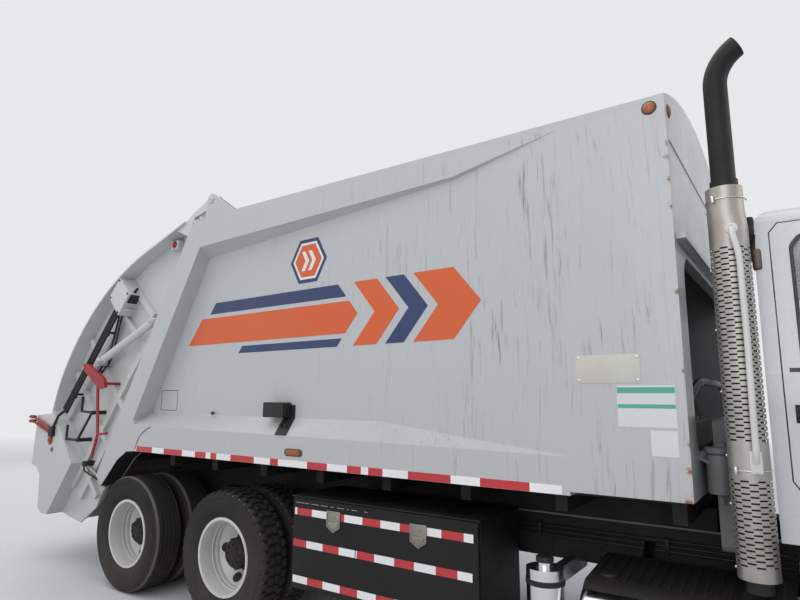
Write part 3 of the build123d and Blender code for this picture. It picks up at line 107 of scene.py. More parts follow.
def on_side(outline: Sequence[Pair], across: float) -> list[Vector]:
    """An outline of (along, up) points, stood upright at a distance from the truck's middle."""
    return [at(x, across, z) for x, z in outline]


# Modelling by operators


def only(*objects: Object) -> None:
    """Selects these objects alone, and makes the first one active."""
    bpy.ops.object.select_all(action="DESELECT")
    for item in objects:
        item.select_set(True)
    bpy.context.view_layer.objects.active = objects[0]


def settle(piece: Object) -> Object:
    """Puts a piece's place into its mesh, so that its object sits at the origin."""
    only(piece)
    bpy.ops.object.transform_apply(location=True, rotation=True, scale=True)
    return piece


def soften(piece: Object, width: float, segments: int = 2) -> Object:
    """Rounds a piece's sharp edges.

    Args:
        piece: the piece to round.
        width: the rounding's width in metres, or 0 for none.
        segments: how many facets the rounding has.

    Returns:
        The same piece.
    """
    if width > 0:
        rounding = piece.modifiers.new("rounding", "BEVEL")
        rounding.width = width
        rounding.segments = segments
        rounding.limit_method = "ANGLE"
        rounding.angle_limit = math.radians(SHARP_ANGLE)
        only(piece)
        bpy.ops.object.modifier_apply(modifier=rounding.name)
    return piece


def block(low: Sequence[float], high: Sequence[float], bevel: float = 0.004, segments: int = 2) -> Object:
    """A box with rounded edges between two corners."""
    low, high = Vector(low), Vector(high)
    bpy.ops.mesh.primitive_cube_add(size=1, location=(low + high) / 2, scale=[abs(s) for s in high - low])
    return soften(settle(bpy.context.object), bevel, segments)


def bar(start: Sequence[float], end: Sequence[float], width: float, depth: float,
        bevel: float = 0.003) -> Object:
    """A flat bar between two points, its depth across the truck."""
    start, end = Vector(start), Vector(end)
    run = end - start
    bpy.ops.mesh.primitive_cube_add(size=1, location=(start + end) / 2, scale=(run.length, depth, width),
                                    rotation=run.to_track_quat("X", "Z").to_euler())
    return soften(settle(bpy.context.object), bevel)


def drum(centre: Sequence[float], radius: float, depth: float, along: Along, sides: int = 32,
         bevel: float = 0.003) -> Object:
    """A short round piece about a centre.

    Args:
        centre: its middle, in the row frame.
        radius: its radius.
        depth: its length along the axis.
        along: the axis it turns about.
        sides: how many facets it has round its rim.
        bevel: the rounding of its rims.

    Returns:
        The finished piece.
    """
    bpy.ops.mesh.primitive_cone_add(vertices=sides, radius1=radius, radius2=radius, depth=depth,
                                    location=centre, rotation=along.vector.to_track_quat("Z", "Y").to_euler())
    return soften(settle(bpy.context.object), bevel)


def dome(centre: Sequence[float], radii: Sequence[float]) -> Object:
    """A rounded lens or cap with its own radius on each axis."""
    bpy.ops.mesh.primitive_uv_sphere_add(segments=DOME_FACETS, ring_count=DOME_FACETS // 2, radius=1,
                                         location=centre, scale=radii)
    return settle(bpy.context.object)


def outline_ring(points: Sequence[Sequence[float]], filled: bool) -> Object:
    """A primitive ring whose corners are moved to given points, left in edit mode."""
    bpy.ops.mesh.primitive_circle_add(vertices=len(points), fill_type="NGON" if filled else "NOTHING")
    ring = bpy.context.object
    for corner, point in zip(ring.data.vertices, points):
        corner.co = point
    ring.matrix_world = Matrix.Identity(4)
    bpy.ops.object.mode_set(mode="EDIT")
    bpy.ops.mesh.select_all(action="SELECT")
    return ring


def plate(points: Sequence[Sequence[float]], push: Sequence[float], bevel: float = 0.0015) -> Object:
    """A flat outline made thick.

    Args:
        points: the outline's corners, in the row frame.
        push: the vector that the outline is extruded by.
        bevel: the rounding of its edges.

    Returns:
        The finished plate.
    """
    piece = outline_ring(points, filled=True)
    bpy.ops.mesh.extrude_region_move(TRANSFORM_OT_translate={"value": tuple(push)})
    bpy.ops.mesh.select_all(action="SELECT")
    bpy.ops.mesh.normals_make_consistent(inside=False)
    bpy.ops.object.mode_set(mode="OBJECT")
    return soften(piece, bevel)


def turned(profile: Sequence[Pair], centre: Sequence[float], along: Along, steps: int = 48) -> Object:
    """A closed outline of (radius, along) points spun about an axis.

    Args:
        profile: the outline, going once round the section.
        centre: the point that distances along the axis are counted from.
        along: the axis.
        steps: how many facets go round.

    Returns:
        The turned piece.
    """
    centre = Vector(centre)
    side = Along.Z.vector if along is not Along.Z else Along.X.vector
    points = [centre + side * radius + along.vector * run for radius, run in profile]
    piece = outline_ring(points, filled=False)
    bpy.ops.mesh.spin(steps=steps, angle=2 * math.pi, center=centre, axis=along.vector)
    bpy.ops.mesh.select_all(action="SELECT")
    bpy.ops.mesh.remove_doubles(threshold=SAME_PLACE)
    bpy.ops.mesh.normals_make_consistent(inside=False)
    bpy.ops.object.mode_set(mode="OBJECT")
    return piece


def bent(points: Sequence[Sequence[float]], radius: float) -> list[Vector]:
    """Points of a bar's line with each corner turned into a bend of that radius."""
    points = [Vector(p) for p in points]
    line = [points[0]]
    for before, corner, after in zip(points, points[1:], points[2:]):
        back, on = (before - corner), (after - corner)
        reach = min(radius, BEND_SHARE * back.length, BEND_SHARE * on.length)
        first, last = corner + back.normalized() * reach, corner + on.normalized() * reach
        for i in range(BEND_FACETS + 1):
            share = i / BEND_FACETS
            line.append(first.lerp(corner, share).lerp(corner.lerp(last, share), share))
    return line + [points[-1]]


def tube(points: Sequence[Sequence[float]], radius: float, bend: float = 0.05, sides: int = 4) -> Object:
    """A round bar or pipe that follows points, with closed ends.

    Args:
        points: the corners of its line, in the row frame.
        radius: the bar's radius.
        bend: the radius of its bends.
        sides: facets in each quarter of its round section.

    Returns:
        The bar as a mesh.
    """
    bpy.ops.curve.primitive_nurbs_path_add()
    path = bpy.context.object
    path.matrix_world = Matrix.Identity(4)
    path.data.splines.clear()
    line = bent(points, bend)
    spline = path.data.splines.new("POLY")
    spline.points.add(len(line) - 1)
    for knot, place in zip(spline.points, line):
        knot.co = (*place, 1.0)
    path.data.bevel_depth = radius
    path.data.bevel_resolution = sides
    path.data.use_fill_caps = True
    bpy.ops.object.convert(target="MESH")
    return bpy.context.object


def ring_of(piece: Object, count: int, centre: Sequence[float], along: Along) -> Object:
    """Repeats a piece evenly round an axis, as one mesh.

    Args:
        piece: the first of the set, at its place.
        count: how many there are in all.
        centre: a point on the axis.
        along: the axis.

    Returns:
        The whole set.
    """
    bpy.ops.object.empty_add(location=(0, 0, 0))
    pivot = bpy.context.object
    turn = Matrix.Rotation(2 * math.pi / count, 4, along.vector)
    pivot.matrix_world = Matrix.Translation(Vector(centre)) @ turn @ Matrix.Translation(-Vector(centre))
    bpy.context.view_layer.update()
    array = piece.modifiers.new("round the axis", "ARRAY")
    array.count = count
    array.use_relative_offset = False
    array.use_object_offset = True
    array.offset_object = pivot
    only(piece)
    bpy.ops.object.modifier_apply(modifier=array.name)
    bpy.data.objects.remove(pivot)
    return piece


def moved(piece: Object, shift: Sequence[float]) -> Object:
    """A shifted copy with its own mesh."""
    twin = piece.copy()
    twin.data = piece.data.copy()
    bpy.context.scene.collection.objects.link(twin)
    twin.data.transform(Matrix.Translation(Vector(shift)))
    return twin


def mirrored(piece: Object) -> Object:
    """A copy on the truck's other side, with its faces outward."""
    twin = moved(piece, (0, 0, 0))
    twin.data.transform(Matrix.Scale(-1, 4, Along.Y.vector))
    twin.data.flip_normals()
    return twin


def joined(pieces: Sequence[Object]) -> Object:
    """Several pieces as one mesh."""
    if len(pieces) > 1:
        only(*pieces)
        bpy.ops.object.join()
    return pieces[0]


# Finishes


class Graph:
    """A node tree that is written line by line."""

    def __init__(self, tree: bpy.types.NodeTree) -> None:
        """Starts on a tree, which may hold nodes already."""
        self.tree = tree

    def add(self, kind: str, **inputs: object) -> bpy.types.Node:
        """Adds a node.

        Args:
            kind: the node's type, without its Shader prefix where it is a shader node.
            inputs: socket values, links or settings by name, with spaces written as underscores.

        Returns:
            The new node.
        """
        node = self.tree.nodes.new(kind if kind.startswith("NodeGroup") else "ShaderNode" + kind)
        for key, value in inputs.items():
            if hasattr(node, key) and key not in ("color", "inputs"):
                setattr(node, key, value)
                continue
            socket = node.inputs[int(key[1:]) if key[0] == "i" and key[1:].isdigit() else key.replace("_",
                                                                                                      " ")]
            if isinstance(value, bpy.types.NodeSocket):
                self.tree.links.new(value, socket)
            else:
                socket.default_value = value
        return node

    def noise(self, vector: bpy.types.NodeSocket, scale: float, detail: float = 4.0,
              roughness: float = 0.6) -> bpy.types.NodeSocket:
        """A noise value from 0 to 1."""
        return self.add("TexNoise", Vector=vector, Scale=scale, Detail=detail,
                        Roughness=roughness).outputs["Fac"]

    def between(self, value: bpy.types.NodeSocket, low: float, high: float, to_low: float = 0.0,
                to_high: float = 1.0) -> bpy.types.NodeSocket:
        """Maps a value from one range to another, held at its ends."""
        node = self.add("MapRange", Value=value, From_Min=low, From_Max=high, To_Min=to_low, To_Max=to_high)
        node.clamp = True
        return node.outputs["Result"]

    def sum(self, kind: str, first: object, second: object) -> bpy.types.NodeSocket:
        """One arithmetic step on two values."""
        return self.add("Math", operation=kind, i0=first, i1=second, use_clamp=False).outputs[0]

    def mix(self, share: object, first: object, second: object) -> bpy.types.NodeSocket:
        """A colour between two colours."""
        node = self.add("Mix", data_type="RGBA")
        for socket, value in ((node.inputs[0], share), (node.inputs[6], first), (node.inputs[7], second)):
            if isinstance(value, bpy.types.NodeSocket):
                self.tree.links.new(value, socket)
            else:
                socket.default_value = (*value, 1.0) if isinstance(value, tuple) else value
        return node.outputs[2]

    def place(self, stretch: Point = (1.0, 1.0, 1.0)) -> bpy.types.NodeSocket:
        """Object coordinates, stretched on each axis."""
        where = self.add("TexCoord").outputs["Object"]
        return self.add("Mapping", Vector=where, Scale=stretch).outputs["Vector"]


class Effect(Enum):
    """Shared effects, each one node group that puts out a mask."""

    CLOUDS = "soft uneven tone"
    STREAKS = "rain streaks"
    DUST = "road dust"
    SPECKS = "chips and spots"


class EffectLibrary:
    """Builds each shared effect once."""

    def __init__(self) -> None:
        """Makes the node groups."""
        self.groups = {effect: self.build(effect) for effect in Effect}

    def build(self, effect: Effect) -> bpy.types.NodeTree:
        """Makes one effect's node group.

        Args:
            effect: which effect to make.

        Returns:
            The group, with inputs Scale and Cover and the output Mask.
        """
        tree = bpy.data.node_groups.new(effect.value, "ShaderNodeTree")
        for name, start in (("Scale", 1.0), ("Cover", 0.5)):
            tree.interface.new_socket(name, in_out="INPUT",
                                      socket_type="NodeSocketFloat").default_value = start
        tree.interface.new_socket("Mask", in_out="OUTPUT", socket_type="NodeSocketFloat")
        graph = Graph(tree)
        entry = graph.add("NodeGroupInput")
        scale, cover = entry.outputs["Scale"], entry.outputs["Cover"]
        mask = {
            Effect.CLOUDS: self.clouds, Effect.STREAKS: self.streaks,
            Effect.DUST: self.dust, Effect.SPECKS: self.specks,
        }[effect](graph, scale, cover)
        leave = graph.add("NodeGroupOutput")
        tree.links.new(mask, leave.inputs["Mask"])
        return tree

    @staticmethod
    def scaled(graph: Graph, stretch: Point, scale: bpy.types.NodeSocket) -> bpy.types.NodeSocket:
        """Object coordinates, stretched and then scaled by an input."""
        return graph.add("VectorMath", operation="SCALE", i0=graph.place(stretch),
                         Scale=scale).outputs["Vector"]

    def clouds(self, graph: Graph, scale: object, cover: object) -> bpy.types.NodeSocket:
        """Large soft patches."""
        spot = self.scaled(graph, (1, 1, 1), scale)
        return graph.sum("MULTIPLY", graph.between(graph.noise(spot, 1.3, 6.0, 0.65), 0.35, 0.7), cover)

    def streaks(self, graph: Graph, scale: object, cover: object) -> bpy.types.NodeSocket:
        """Thin runs down the surface, in groups, wavering and broken."""
        sway = graph.noise(self.scaled(graph, (0.5, 0.5, 0.7), scale), 1.0, 1.0)
        base = self.scaled(graph, (13.0, 13.0, 0.8), scale)
        shift = graph.add("CombineXYZ", X=graph.sum("MULTIPLY", sway, 1.6)).outputs[0]
        bent_place = graph.add("VectorMath", operation="ADD", i0=base, i1=shift).outputs["Vector"]
        thin = graph.noise(bent_place, 3.2, 3.0, 0.7)
        limit = graph.sum("SUBTRACT", 0.76, graph.sum("MULTIPLY", cover, 0.2))
        run = graph.between(graph.sum("SUBTRACT", thin, limit), 0.0, 0.13)
        broken = graph.between(graph.noise(self.scaled(graph, (2.0, 2.0, 0.8), scale), 1.6, 5.0), 0.38, 0.68)
        return graph.sum("MULTIPLY", run, broken)

    def dust(self, graph: Graph, scale: object, cover: object) -> bpy.types.NodeSocket:
        """Dust that is thick low down and thins out towards the height given by Scale, in metres."""
        up = graph.add("SeparateXYZ", Vector=graph.add("TexCoord").outputs["Object"]).outputs["Z"]
        low = graph.sum("SUBTRACT", 1.0, graph.sum("DIVIDE", up, scale))
        patchy = graph.between(graph.noise(graph.place((2.0, 2.0, 1.0)), 2.2, 6.0, 0.7), 0.2, 0.8, 0.3, 1.0)
        held = graph.add("Clamp", Value=low).outputs[0]
        return graph.sum("MULTIPLY", graph.sum("MULTIPLY", held, patchy), cover)

    def specks(self, graph: Graph, scale: object, cover: object) -> bpy.types.NodeSocket:
        """Small hard spots in loose clusters."""
        fine = graph.noise(self.scaled(graph, (1, 1, 1), scale), 14.0, 5.0, 0.75)
        group = graph.noise(self.scaled(graph, (1, 1, 1), scale), 1.1, 3.0)
        limit = graph.sum("SUBTRACT", 0.82, graph.sum("MULTIPLY", cover, 0.28))
        spot = graph.between(graph.sum("SUBTRACT", fine, limit), 0.0, 0.03)
        return graph.sum("MULTIPLY", spot, graph.between(group, 0.45, 0.6))


EFFECTS = EffectLibrary()


@dataclass(frozen=True)
class Coat:
    """A paint, metal, rubber or plastic with the wear it has picked up.

    Each amount is from 0, none, to 1, much.
    """

    name: str
    colour: Colour
    roughness: float = 0.45
    metallic: float = 0.0
    coat: float = 0.0
    shine: float = 0.5
    tone: float = 0.12
    tone_colour: Colour = (0.55, 0.53, 0.5)
    streaks: float = 0.0
    streak_colour: Colour = (0.12, 0.11, 0.1)
    streak_from: float | None = None
    dust: float = 0.0
    dust_height: float = 1.6
    dust_colour: Colour = (0.36, 0.31, 0.26)
    specks: float = 0.0
    speck_colour: Colour = (0.2, 0.09, 0.05)
    speck_size: float = 1.0
    grain: float = 0.02
    grain_scale: float = 60.0
    dents: float = 0.0
    rust: tuple[Point, ...] = ()
    rust_colour: Colour = (0.16, 0.065, 0.03)
    rust_halo: Colour = (0.42, 0.32, 0.2)
    coat_roughness: float = 0.08

    def rusted(self, graph: Graph, colour: bpy.types.NodeSocket) -> bpy.types.NodeSocket:
        """Lays ragged rust on the right side, each place given as metres ahead, metres up and reach."""
        for ahead, up, reach in self.rust:
            where = graph.add("TexCoord").outputs["Object"]
            away = graph.add("VectorMath", operation="DISTANCE", i0=where, i1=at(ahead, BODY_SIDE_Y, up))
            near = graph.between(away.outputs["Value"], 0.0, reach, 0.5, 0.0)
            ragged = graph.sum("ADD", near, graph.noise(where, 28.0, 8.0, 0.8))
            colour = graph.mix(graph.between(ragged, 0.7, 0.95, 0.0, 0.4), colour, self.rust_halo)
            colour = graph.mix(graph.between(ragged, 0.88, 0.98, 0.0, 0.9), colour, self.rust_colour)
        return colour

    def mask(self, graph: Graph, effect: Effect, scale: float, cover: float) -> bpy.types.NodeSocket:
        """One shared effect's mask, placed in a material."""
        node = graph.add("Group", node_tree=EFFECTS.groups[effect])
        node.inputs["Scale"].default_value = scale
        node.inputs["Cover"].default_value = cover
        return node.outputs["Mask"]

    def material(self) -> Material:
        """Makes the material.

        Returns:
            A node material that reads object coordinates.
        """
        made = bpy.data.materials.new(self.name)
        made.use_nodes = True
        graph = Graph(made.node_tree)
        shader = made.node_tree.nodes["Principled BSDF"]
        colour = graph.mix(self.mask(graph, Effect.CLOUDS, 1.0, self.tone), self.colour, self.tone_colour)
        rough = graph.between(graph.noise(graph.place(), 3.0, 5.0), 0.3, 0.7,
                              max(0.02, self.roughness - 0.08), min(1.0, self.roughness + 0.1))
        if self.streaks:
            run = self.mask(graph, Effect.STREAKS, 1.0, self.streaks)
            if self.streak_from is not None:
                place = graph.add("SeparateXYZ", Vector=graph.add("TexCoord").outputs["Object"]).outputs["X"]
                ahead = graph.between(place, self.streak_from - 0.9, self.streak_from + 0.9, 0.12, 1.0)
                run = graph.sum("MULTIPLY", run, ahead)
            colour = graph.mix(graph.sum("MULTIPLY", run, 0.8), colour, self.streak_colour)
        if self.specks:
            spots = self.mask(graph, Effect.SPECKS, self.speck_size, self.specks)
            colour = graph.mix(spots, colour, self.speck_colour)
            rough = graph.sum("MAXIMUM", rough, graph.sum("MULTIPLY", spots, 0.85))
        if self.dust:
            film = self.mask(graph, Effect.DUST, self.dust_height, self.dust)
            colour = graph.mix(film, colour, self.dust_colour)
            rough = graph.sum("MAXIMUM", rough, graph.sum("MULTIPLY", film, 0.8))
        made.node_tree.links.new(self.rusted(graph, colour), shader.inputs["Base Color"])
        made.node_tree.links.new(rough, shader.inputs["Roughness"])
        shader.inputs["Metallic"].default_value = self.metallic
        shader.inputs["Specular IOR Level"].default_value = self.shine
        shader.inputs["Coat Weight"].default_value = self.coat
        shader.inputs["Coat Roughness"].default_value = self.coat_roughness
        height = graph.noise(graph.place(), self.grain_scale, 3.0)
        bump = graph.add("Bump", Height=height, Strength=self.grain, Distance=0.002)
        if self.dents:
            waves = graph.noise(graph.place(), 2.4, 2.0)
            bump = graph.add("Bump", Height=waves, Strength=self.dents, Distance=0.02, Normal=bump.outputs[0])
        made.node_tree.links.new(bump.outputs[0], shader.inputs["Normal"])
        return made


@dataclass(frozen=True)
class Lens:
    """A moulded lamp lens or window glass."""

    name: str
    colour: Colour
    roughness: float = 0.12
    transmission: float = 0.35
    glow: float = 0.0
    soil: Colour = (0.3, 0.27, 0.24)
    refraction: float = 1.45

    def material(self) -> Material:
        """Makes the material, soiled a little in patches."""
        made = bpy.data.materials.new(self.name)
        made.use_nodes = True
        graph = Graph(made.node_tree)
        shader = made.node_tree.nodes["Principled BSDF"]
        soil = graph.between(graph.noise(graph.place(), 5.0, 6.0), 0.45, 0.75, 0.0, 0.25)
        made.node_tree.links.new(graph.mix(soil, self.colour, self.soil), shader.inputs["Base Color"])
        shader.inputs["Roughness"].default_value = self.roughness
        shader.inputs["Transmission Weight"].default_value = self.transmission
        shader.inputs["IOR"].default_value = self.refraction
        shader.inputs["Emission Color"].default_value = (*self.colour, 1.0)
        shader.inputs["Emission Strength"].default_value = self.glow
        return made


FINISHES: dict[str, Material] = {
    finish.name: finish.material()
    for finish in (
        Coat("body white", (0.47, 0.48, 0.487), 0.4, coat=0.25, tone=0.3, tone_colour=(0.48, 0.48, 0.46),
             streaks=1.0, streak_from=0.0, dust=0.35, dust_height=1.9, specks=0.12, dents=0.1, grain=0.01,
             rust=((4.785, 1.27, 0.13), (4.8, 1.42, 0.08), (4.8, 1.55, 0.07), (3.22, 1.54, 0.05),
                   (4.55, 1.25, 0.06), (4.3, 1.25, 0.05), (4.68, 1.25, 0.07), (3.9, 1.25, 0.05),
                   (0.2, 1.44, 0.04), (4.8, 1.9, 0.05), (4.8, 2.3, 0.06), (4.8, 2.75, 0.05), (4.8, 2.9, 0.06),
                   (4.8, 3.02, 0.06), (4.8, 3.1, 0.04))),
        Coat("roof white", (0.475, 0.485, 0.492), 0.42, coat=0.2, tone=0.4, tone_colour=(0.42, 0.41, 0.38),
             specks=0.1, grain=0.01),
        Coat("cab white", (0.6, 0.61, 0.62), 0.25, coat=0.6, tone=0.1, dust=0.3, dust_height=1.7,
             grain=0.005),
        Coat("tailgate white", (0.55, 0.555, 0.56), 0.42, coat=0.2, tone=0.3, tone_colour=(0.55, 0.54, 0.5),
             streaks=0.5, dust=0.4, dust_height=2.0, specks=0.3, dents=0.06),
        Coat("chassis black", (0.008, 0.008, 0.009), 0.6, shine=0.2, tone=0.3,
             tone_colour=(0.025, 0.023, 0.021), dust=0.14, dust_height=1.5, specks=0.25, speck_size=1.5,
             grain=0.06),
        Coat("toolbox black", (0.006, 0.006, 0.007), 0.42, shine=0.2, coat=0.05, tone=0.4,
             tone_colour=(0.022, 0.02, 0.02), dust=0.05, dust_height=1.25, specks=0.15,
             speck_colour=(0.25, 0.25, 0.25), grain=0.04),
        Coat("tyre rubber", (0.012, 0.012, 0.0125), 0.8, shine=0.2, tone=0.45,
             tone_colour=(0.035, 0.032, 0.029), dust=0.16, dust_height=1.25, grain=0.12, grain_scale=110.0),
        Coat("tread edge", (0.13, 0.11, 0.09), 0.9, tone=0.9, tone_colour=(0.03, 0.028, 0.026), specks=0.7,
             speck_size=3.0, speck_colour=(0.02, 0.02, 0.02), grain=0.2, grain_scale=140.0),
        Coat("wheel white", (0.66, 0.65, 0.63), 0.35, coat=0.3, tone=0.35, tone_colour=(0.42, 0.4, 0.36),
             specks=0.4, speck_size=2.0, dust=0.2, dust_height=1.2, grain=0.03),
        Coat("hub black", (0.01, 0.01, 0.01), 0.5, shine=0.2, tone=0.4, tone_colour=(0.03, 0.027, 0.024),
             specks=0.3, speck_size=2.5, speck_colour=(0.07, 0.05, 0.04), dust=0.1, dust_height=1.3,
             grain=0.08),
        Coat("engine casting", (0.09, 0.09, 0.095), 0.6, tone=0.4, dust=0.5, dust_height=1.8, grain=0.15),
        Coat("seat vinyl", (0.05, 0.05, 0.055), 0.6, tone=0.15, grain=0.25, grain_scale=160.0),
        Coat("dash plastic", (0.045, 0.045, 0.05), 0.55, tone=0.15, grain=0.2, grain_scale=220.0),
        Coat("stack black", (0.011, 0.011, 0.012), 0.5, shine=0.2, tone=0.4, tone_colour=(0.05, 0.047, 0.045),
             specks=0.1, grain=0.05),
        Coat("shield steel", (0.46, 0.45, 0.43), 0.42, metallic=0.8, tone=0.7, tone_colour=(0.23, 0.19, 0.15),
             streaks=0.4, streak_colour=(0.07, 0.05, 0.04), grain=0.05),
        Coat("bright steel", (0.62, 0.62, 0.61), 0.28, metallic=1.0, tone=0.3, tone_colour=(0.4, 0.38, 0.35),
             grain=0.03),
        Coat("old nickel", (0.42, 0.4, 0.37), 0.24, metallic=1.0, tone=0.6, tone_colour=(0.12, 0.1, 0.08),
             grain=0.1),
        Coat("tank aluminium", (0.78, 0.79, 0.8), 0.18, metallic=1.0, tone=0.25,
             tone_colour=(0.5, 0.49, 0.47), dust=0.2, dust_height=1.2, grain=0.01),
        Coat("reservoir grey", (0.13, 0.135, 0.14), 0.5, tone=0.35, tone_colour=(0.08, 0.08, 0.075),
             streaks=0.4, specks=0.2, dust=0.3, dust_height=2.0),
        Coat("ejector grey", (0.35, 0.34, 0.32), 0.6, tone=0.6, tone_colour=(0.2, 0.16, 0.12), specks=0.6,
             streaks=0.5),
        Coat("chrome rod", (0.75, 0.76, 0.78), 0.12, metallic=1.0, tone=0.15, tone_colour=(0.5, 0.48, 0.45),
             grain=0.005),
        Coat("prop red", (0.36, 0.012, 0.02), 0.45, tone=0.4, tone_colour=(0.2, 0.02, 0.02), specks=0.25,
             speck_colour=(0.06, 0.05, 0.05), dust=0.2),
        Coat("worn steel", (0.2, 0.18, 0.165), 0.5, metallic=0.6, tone=0.8, tone_colour=(0.1, 0.065, 0.045),
             streaks=0.5, specks=0.7, grain=0.2, dents=0.25),
        Coat("grille black", (0.02, 0.02, 0.021), 0.3, tone=0.1, dust=0.15, grain=0.02),
        Coat("bumper white", (0.7, 0.71, 0.71), 0.3, coat=0.4, tone=0.15, dust=0.45, dust_height=1.2),
        Coat("worn stainless", (0.32, 0.31, 0.29), 0.36, metallic=1.0, tone=0.5,
             tone_colour=(0.25, 0.23, 0.2), specks=0.2, grain=0.08),
        Coat("fitting black", (0.02, 0.02, 0.02), 0.4, shine=0.2, tone=0.3, tone_colour=(0.07, 0.065, 0.06),
             specks=0.15, grain=0.04),
        Coat("seal rubber", (0.02, 0.02, 0.02), 0.7, tone=0.2, grain=0.1),
        Coat("tape red", (0.5, 0.018, 0.025), 0.3, coat=0.5, tone=0.25, tone_colour=(0.3, 0.02, 0.02),
             grain=0.08, grain_scale=240.0),
        Coat("tape white", (0.82, 0.82, 0.81), 0.3, coat=0.5, tone=0.25, grain=0.08, grain_scale=240.0),
        Coat("vinyl orange", (0.64, 0.105, 0.022), 0.4, coat=0.15, tone=0.25, tone_colour=(0.5, 0.13, 0.05),
             streaks=0.25, streak_colour=(0.3, 0.14, 0.1)),
        Coat("vinyl navy", (0.018, 0.035, 0.115), 0.4, coat=0.15, tone=0.3, tone_colour=(0.04, 0.06, 0.14)),
        Coat("vinyl white", (0.74, 0.74, 0.74), 0.4, coat=0.15, tone=0.15),
        Coat("old plate", (0.58, 0.58, 0.54), 0.6, tone=0.6, tone_colour=(0.45, 0.38, 0.25), specks=0.5,
             streaks=0.6, streak_colour=(0.25, 0.12, 0.05)),
        Coat("label green", (0.08, 0.36, 0.26), 0.5, tone=0.2, tone_colour=(0.2, 0.42, 0.35)),
        Coat("label white", (0.66, 0.67, 0.66), 0.5, tone=0.3, tone_colour=(0.5, 0.5, 0.47)),
        Lens("clear glass", (0.82, 0.88, 0.88), 0.03, 0.92),
        Lens("amber lens", (0.52, 0.13, 0.03), glow=0.02),
        Lens("red lens", (0.55, 0.01, 0.015), glow=0.05),
        Lens("clear lens", (0.8, 0.8, 0.8), 0.08, 0.8),
    )
}

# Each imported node's finish
NODE_FINISH: dict[str, str] = {
    "frame_rails": "chassis black", "rear_bogie": "chassis black", "front_axle": "chassis black",
    "powertrain": "engine casting", "bumper": "bumper white", "cab_shell": "cab white",
    "cab_glass": "clear glass", "seats": "seat vinyl", "dashboard": "dash plastic",
    "exhaust_pipe": "stack black", "exhaust_shield": "shield steel", "tanks": "tank aluminium",
    "cab_steps": "chassis black", "toolbox": "toolbox black", "toolbox_door": "toolbox black",
    "reservoir": "reservoir grey", "body_floor": "chassis black", "body_side_left": "body white",
    "body_side_right": "body white", "body_roof": "roof white", "body_bulkhead": "body white",
    "ejector_barrel": "ejector grey", "ejector_stage_1": "chrome rod", "ejector_stage_2": "chrome rod",
    "ejector_panel": "ejector grey", "door_left": "cab white", "door_right": "cab white",
    "door_glass_left": "clear glass", "door_glass_right": "clear glass", "hood": "cab white",
    "grille": "grille black", "knuckle_left": "chassis black", "knuckle_right": "chassis black",
    "tie_rod": "chassis black", "tailgate_side_left": "tailgate white",
    "tailgate_side_right": "tailgate white", "tailgate_cover": "tailgate white", "hopper_floor": "worn steel",
    "tailgate_fittings": "fitting black", "tailgate_prop": "prop red", "packer_carriage": "tailgate white",
    "packer_blade": "worn steel", "lift_barrels": "tailgate white", "lift_rods": "chrome rod",
    "work_lamp": "fitting black",
} | {
    f"{stem}_{side}": finish
    for side in ("left", "right")
    for stem, finish in (
        ("tyres_rear", "tyre rubber"), ("tyres_middle", "tyre rubber"), ("tyre_front", "tyre rubber"),
        ("rims_rear", "wheel white"), ("rims_middle", "wheel white"), ("rim_front", "wheel white"),
    )
}


def painted(piece: Object, finish: str) -> None:
    """Gives all of a piece's faces one finish."""
    piece.data.materials.clear()
    piece.data.materials.append(FINISHES[finish])
    for face in piece.data.polygons:
        face.material_index = 0


def dress_nodes() -> None:
    """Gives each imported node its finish."""
    for name, finish in NODE_FINISH.items():
        painted(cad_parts[name], finish)
        log.info("%s is dressed in %s", name, finish)


def skin_y(node: str, along: float, up: float, side: int = -1) -> float:
    """How far across the truck a node's outer face lies, found by looking straight in from one side.

    Args:
        node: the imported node.
        along: metres ahead of the rearmost axle.
        up: metres above the ground.
        side: 1 for the left side, -1 for the right.

    Returns:
        The face's place across the truck, or the load body's side where nothing is hit.
    """
    found, place, _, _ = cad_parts[node].ray_cast(at(along, 3.0 * side, up), Vector((0, -side, 0)))
    return place.y if found else -BODY_SIDE_Y * side


def fit(piece: Object, name: str, body: str, finish: str, slot: str, smooth: float = SHARP_ANGLE) -> None:
    """Names a piece, dresses it and lets it ride on a body.

    Args:
        piece: the finished mesh.
        name: its name in the table.
        body: the body that carries it.
        finish: the name of the finish of all its faces.
        slot: not used.
        smooth: edges flatter than this many degrees are shaded smooth.
    """
    piece.name = name
    piece.data.name = name
    painted(piece, finish)
    only(piece)
    bpy.ops.object.shade_smooth_by_angle(angle=math.radians(smooth))
    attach(piece, body)
    log.info("%s rides on %s", name, body)


def both_sides(piece: Object, name: str, body: str, finish: str, slot: str, other: str = "") -> None:
    """Fits a right-hand piece and its mirror image.

    Args:
        piece: the piece on the right.
        name: the pair's name, to which each side is added.
        body: the body that carries the right one.
        finish: the finish's name.
        slot: the record's material slot.
        other: the body that carries the left one, where it is another.
    """
    twin = mirrored(piece)
    fit(piece, name + "_right", body, finish, slot)
    fit(twin, name + "_left", other or body, finish, slot)


# Wheels

HUB_UP = 0.508
TANDEM = 1.37
FRONT_AXLE = 6.9


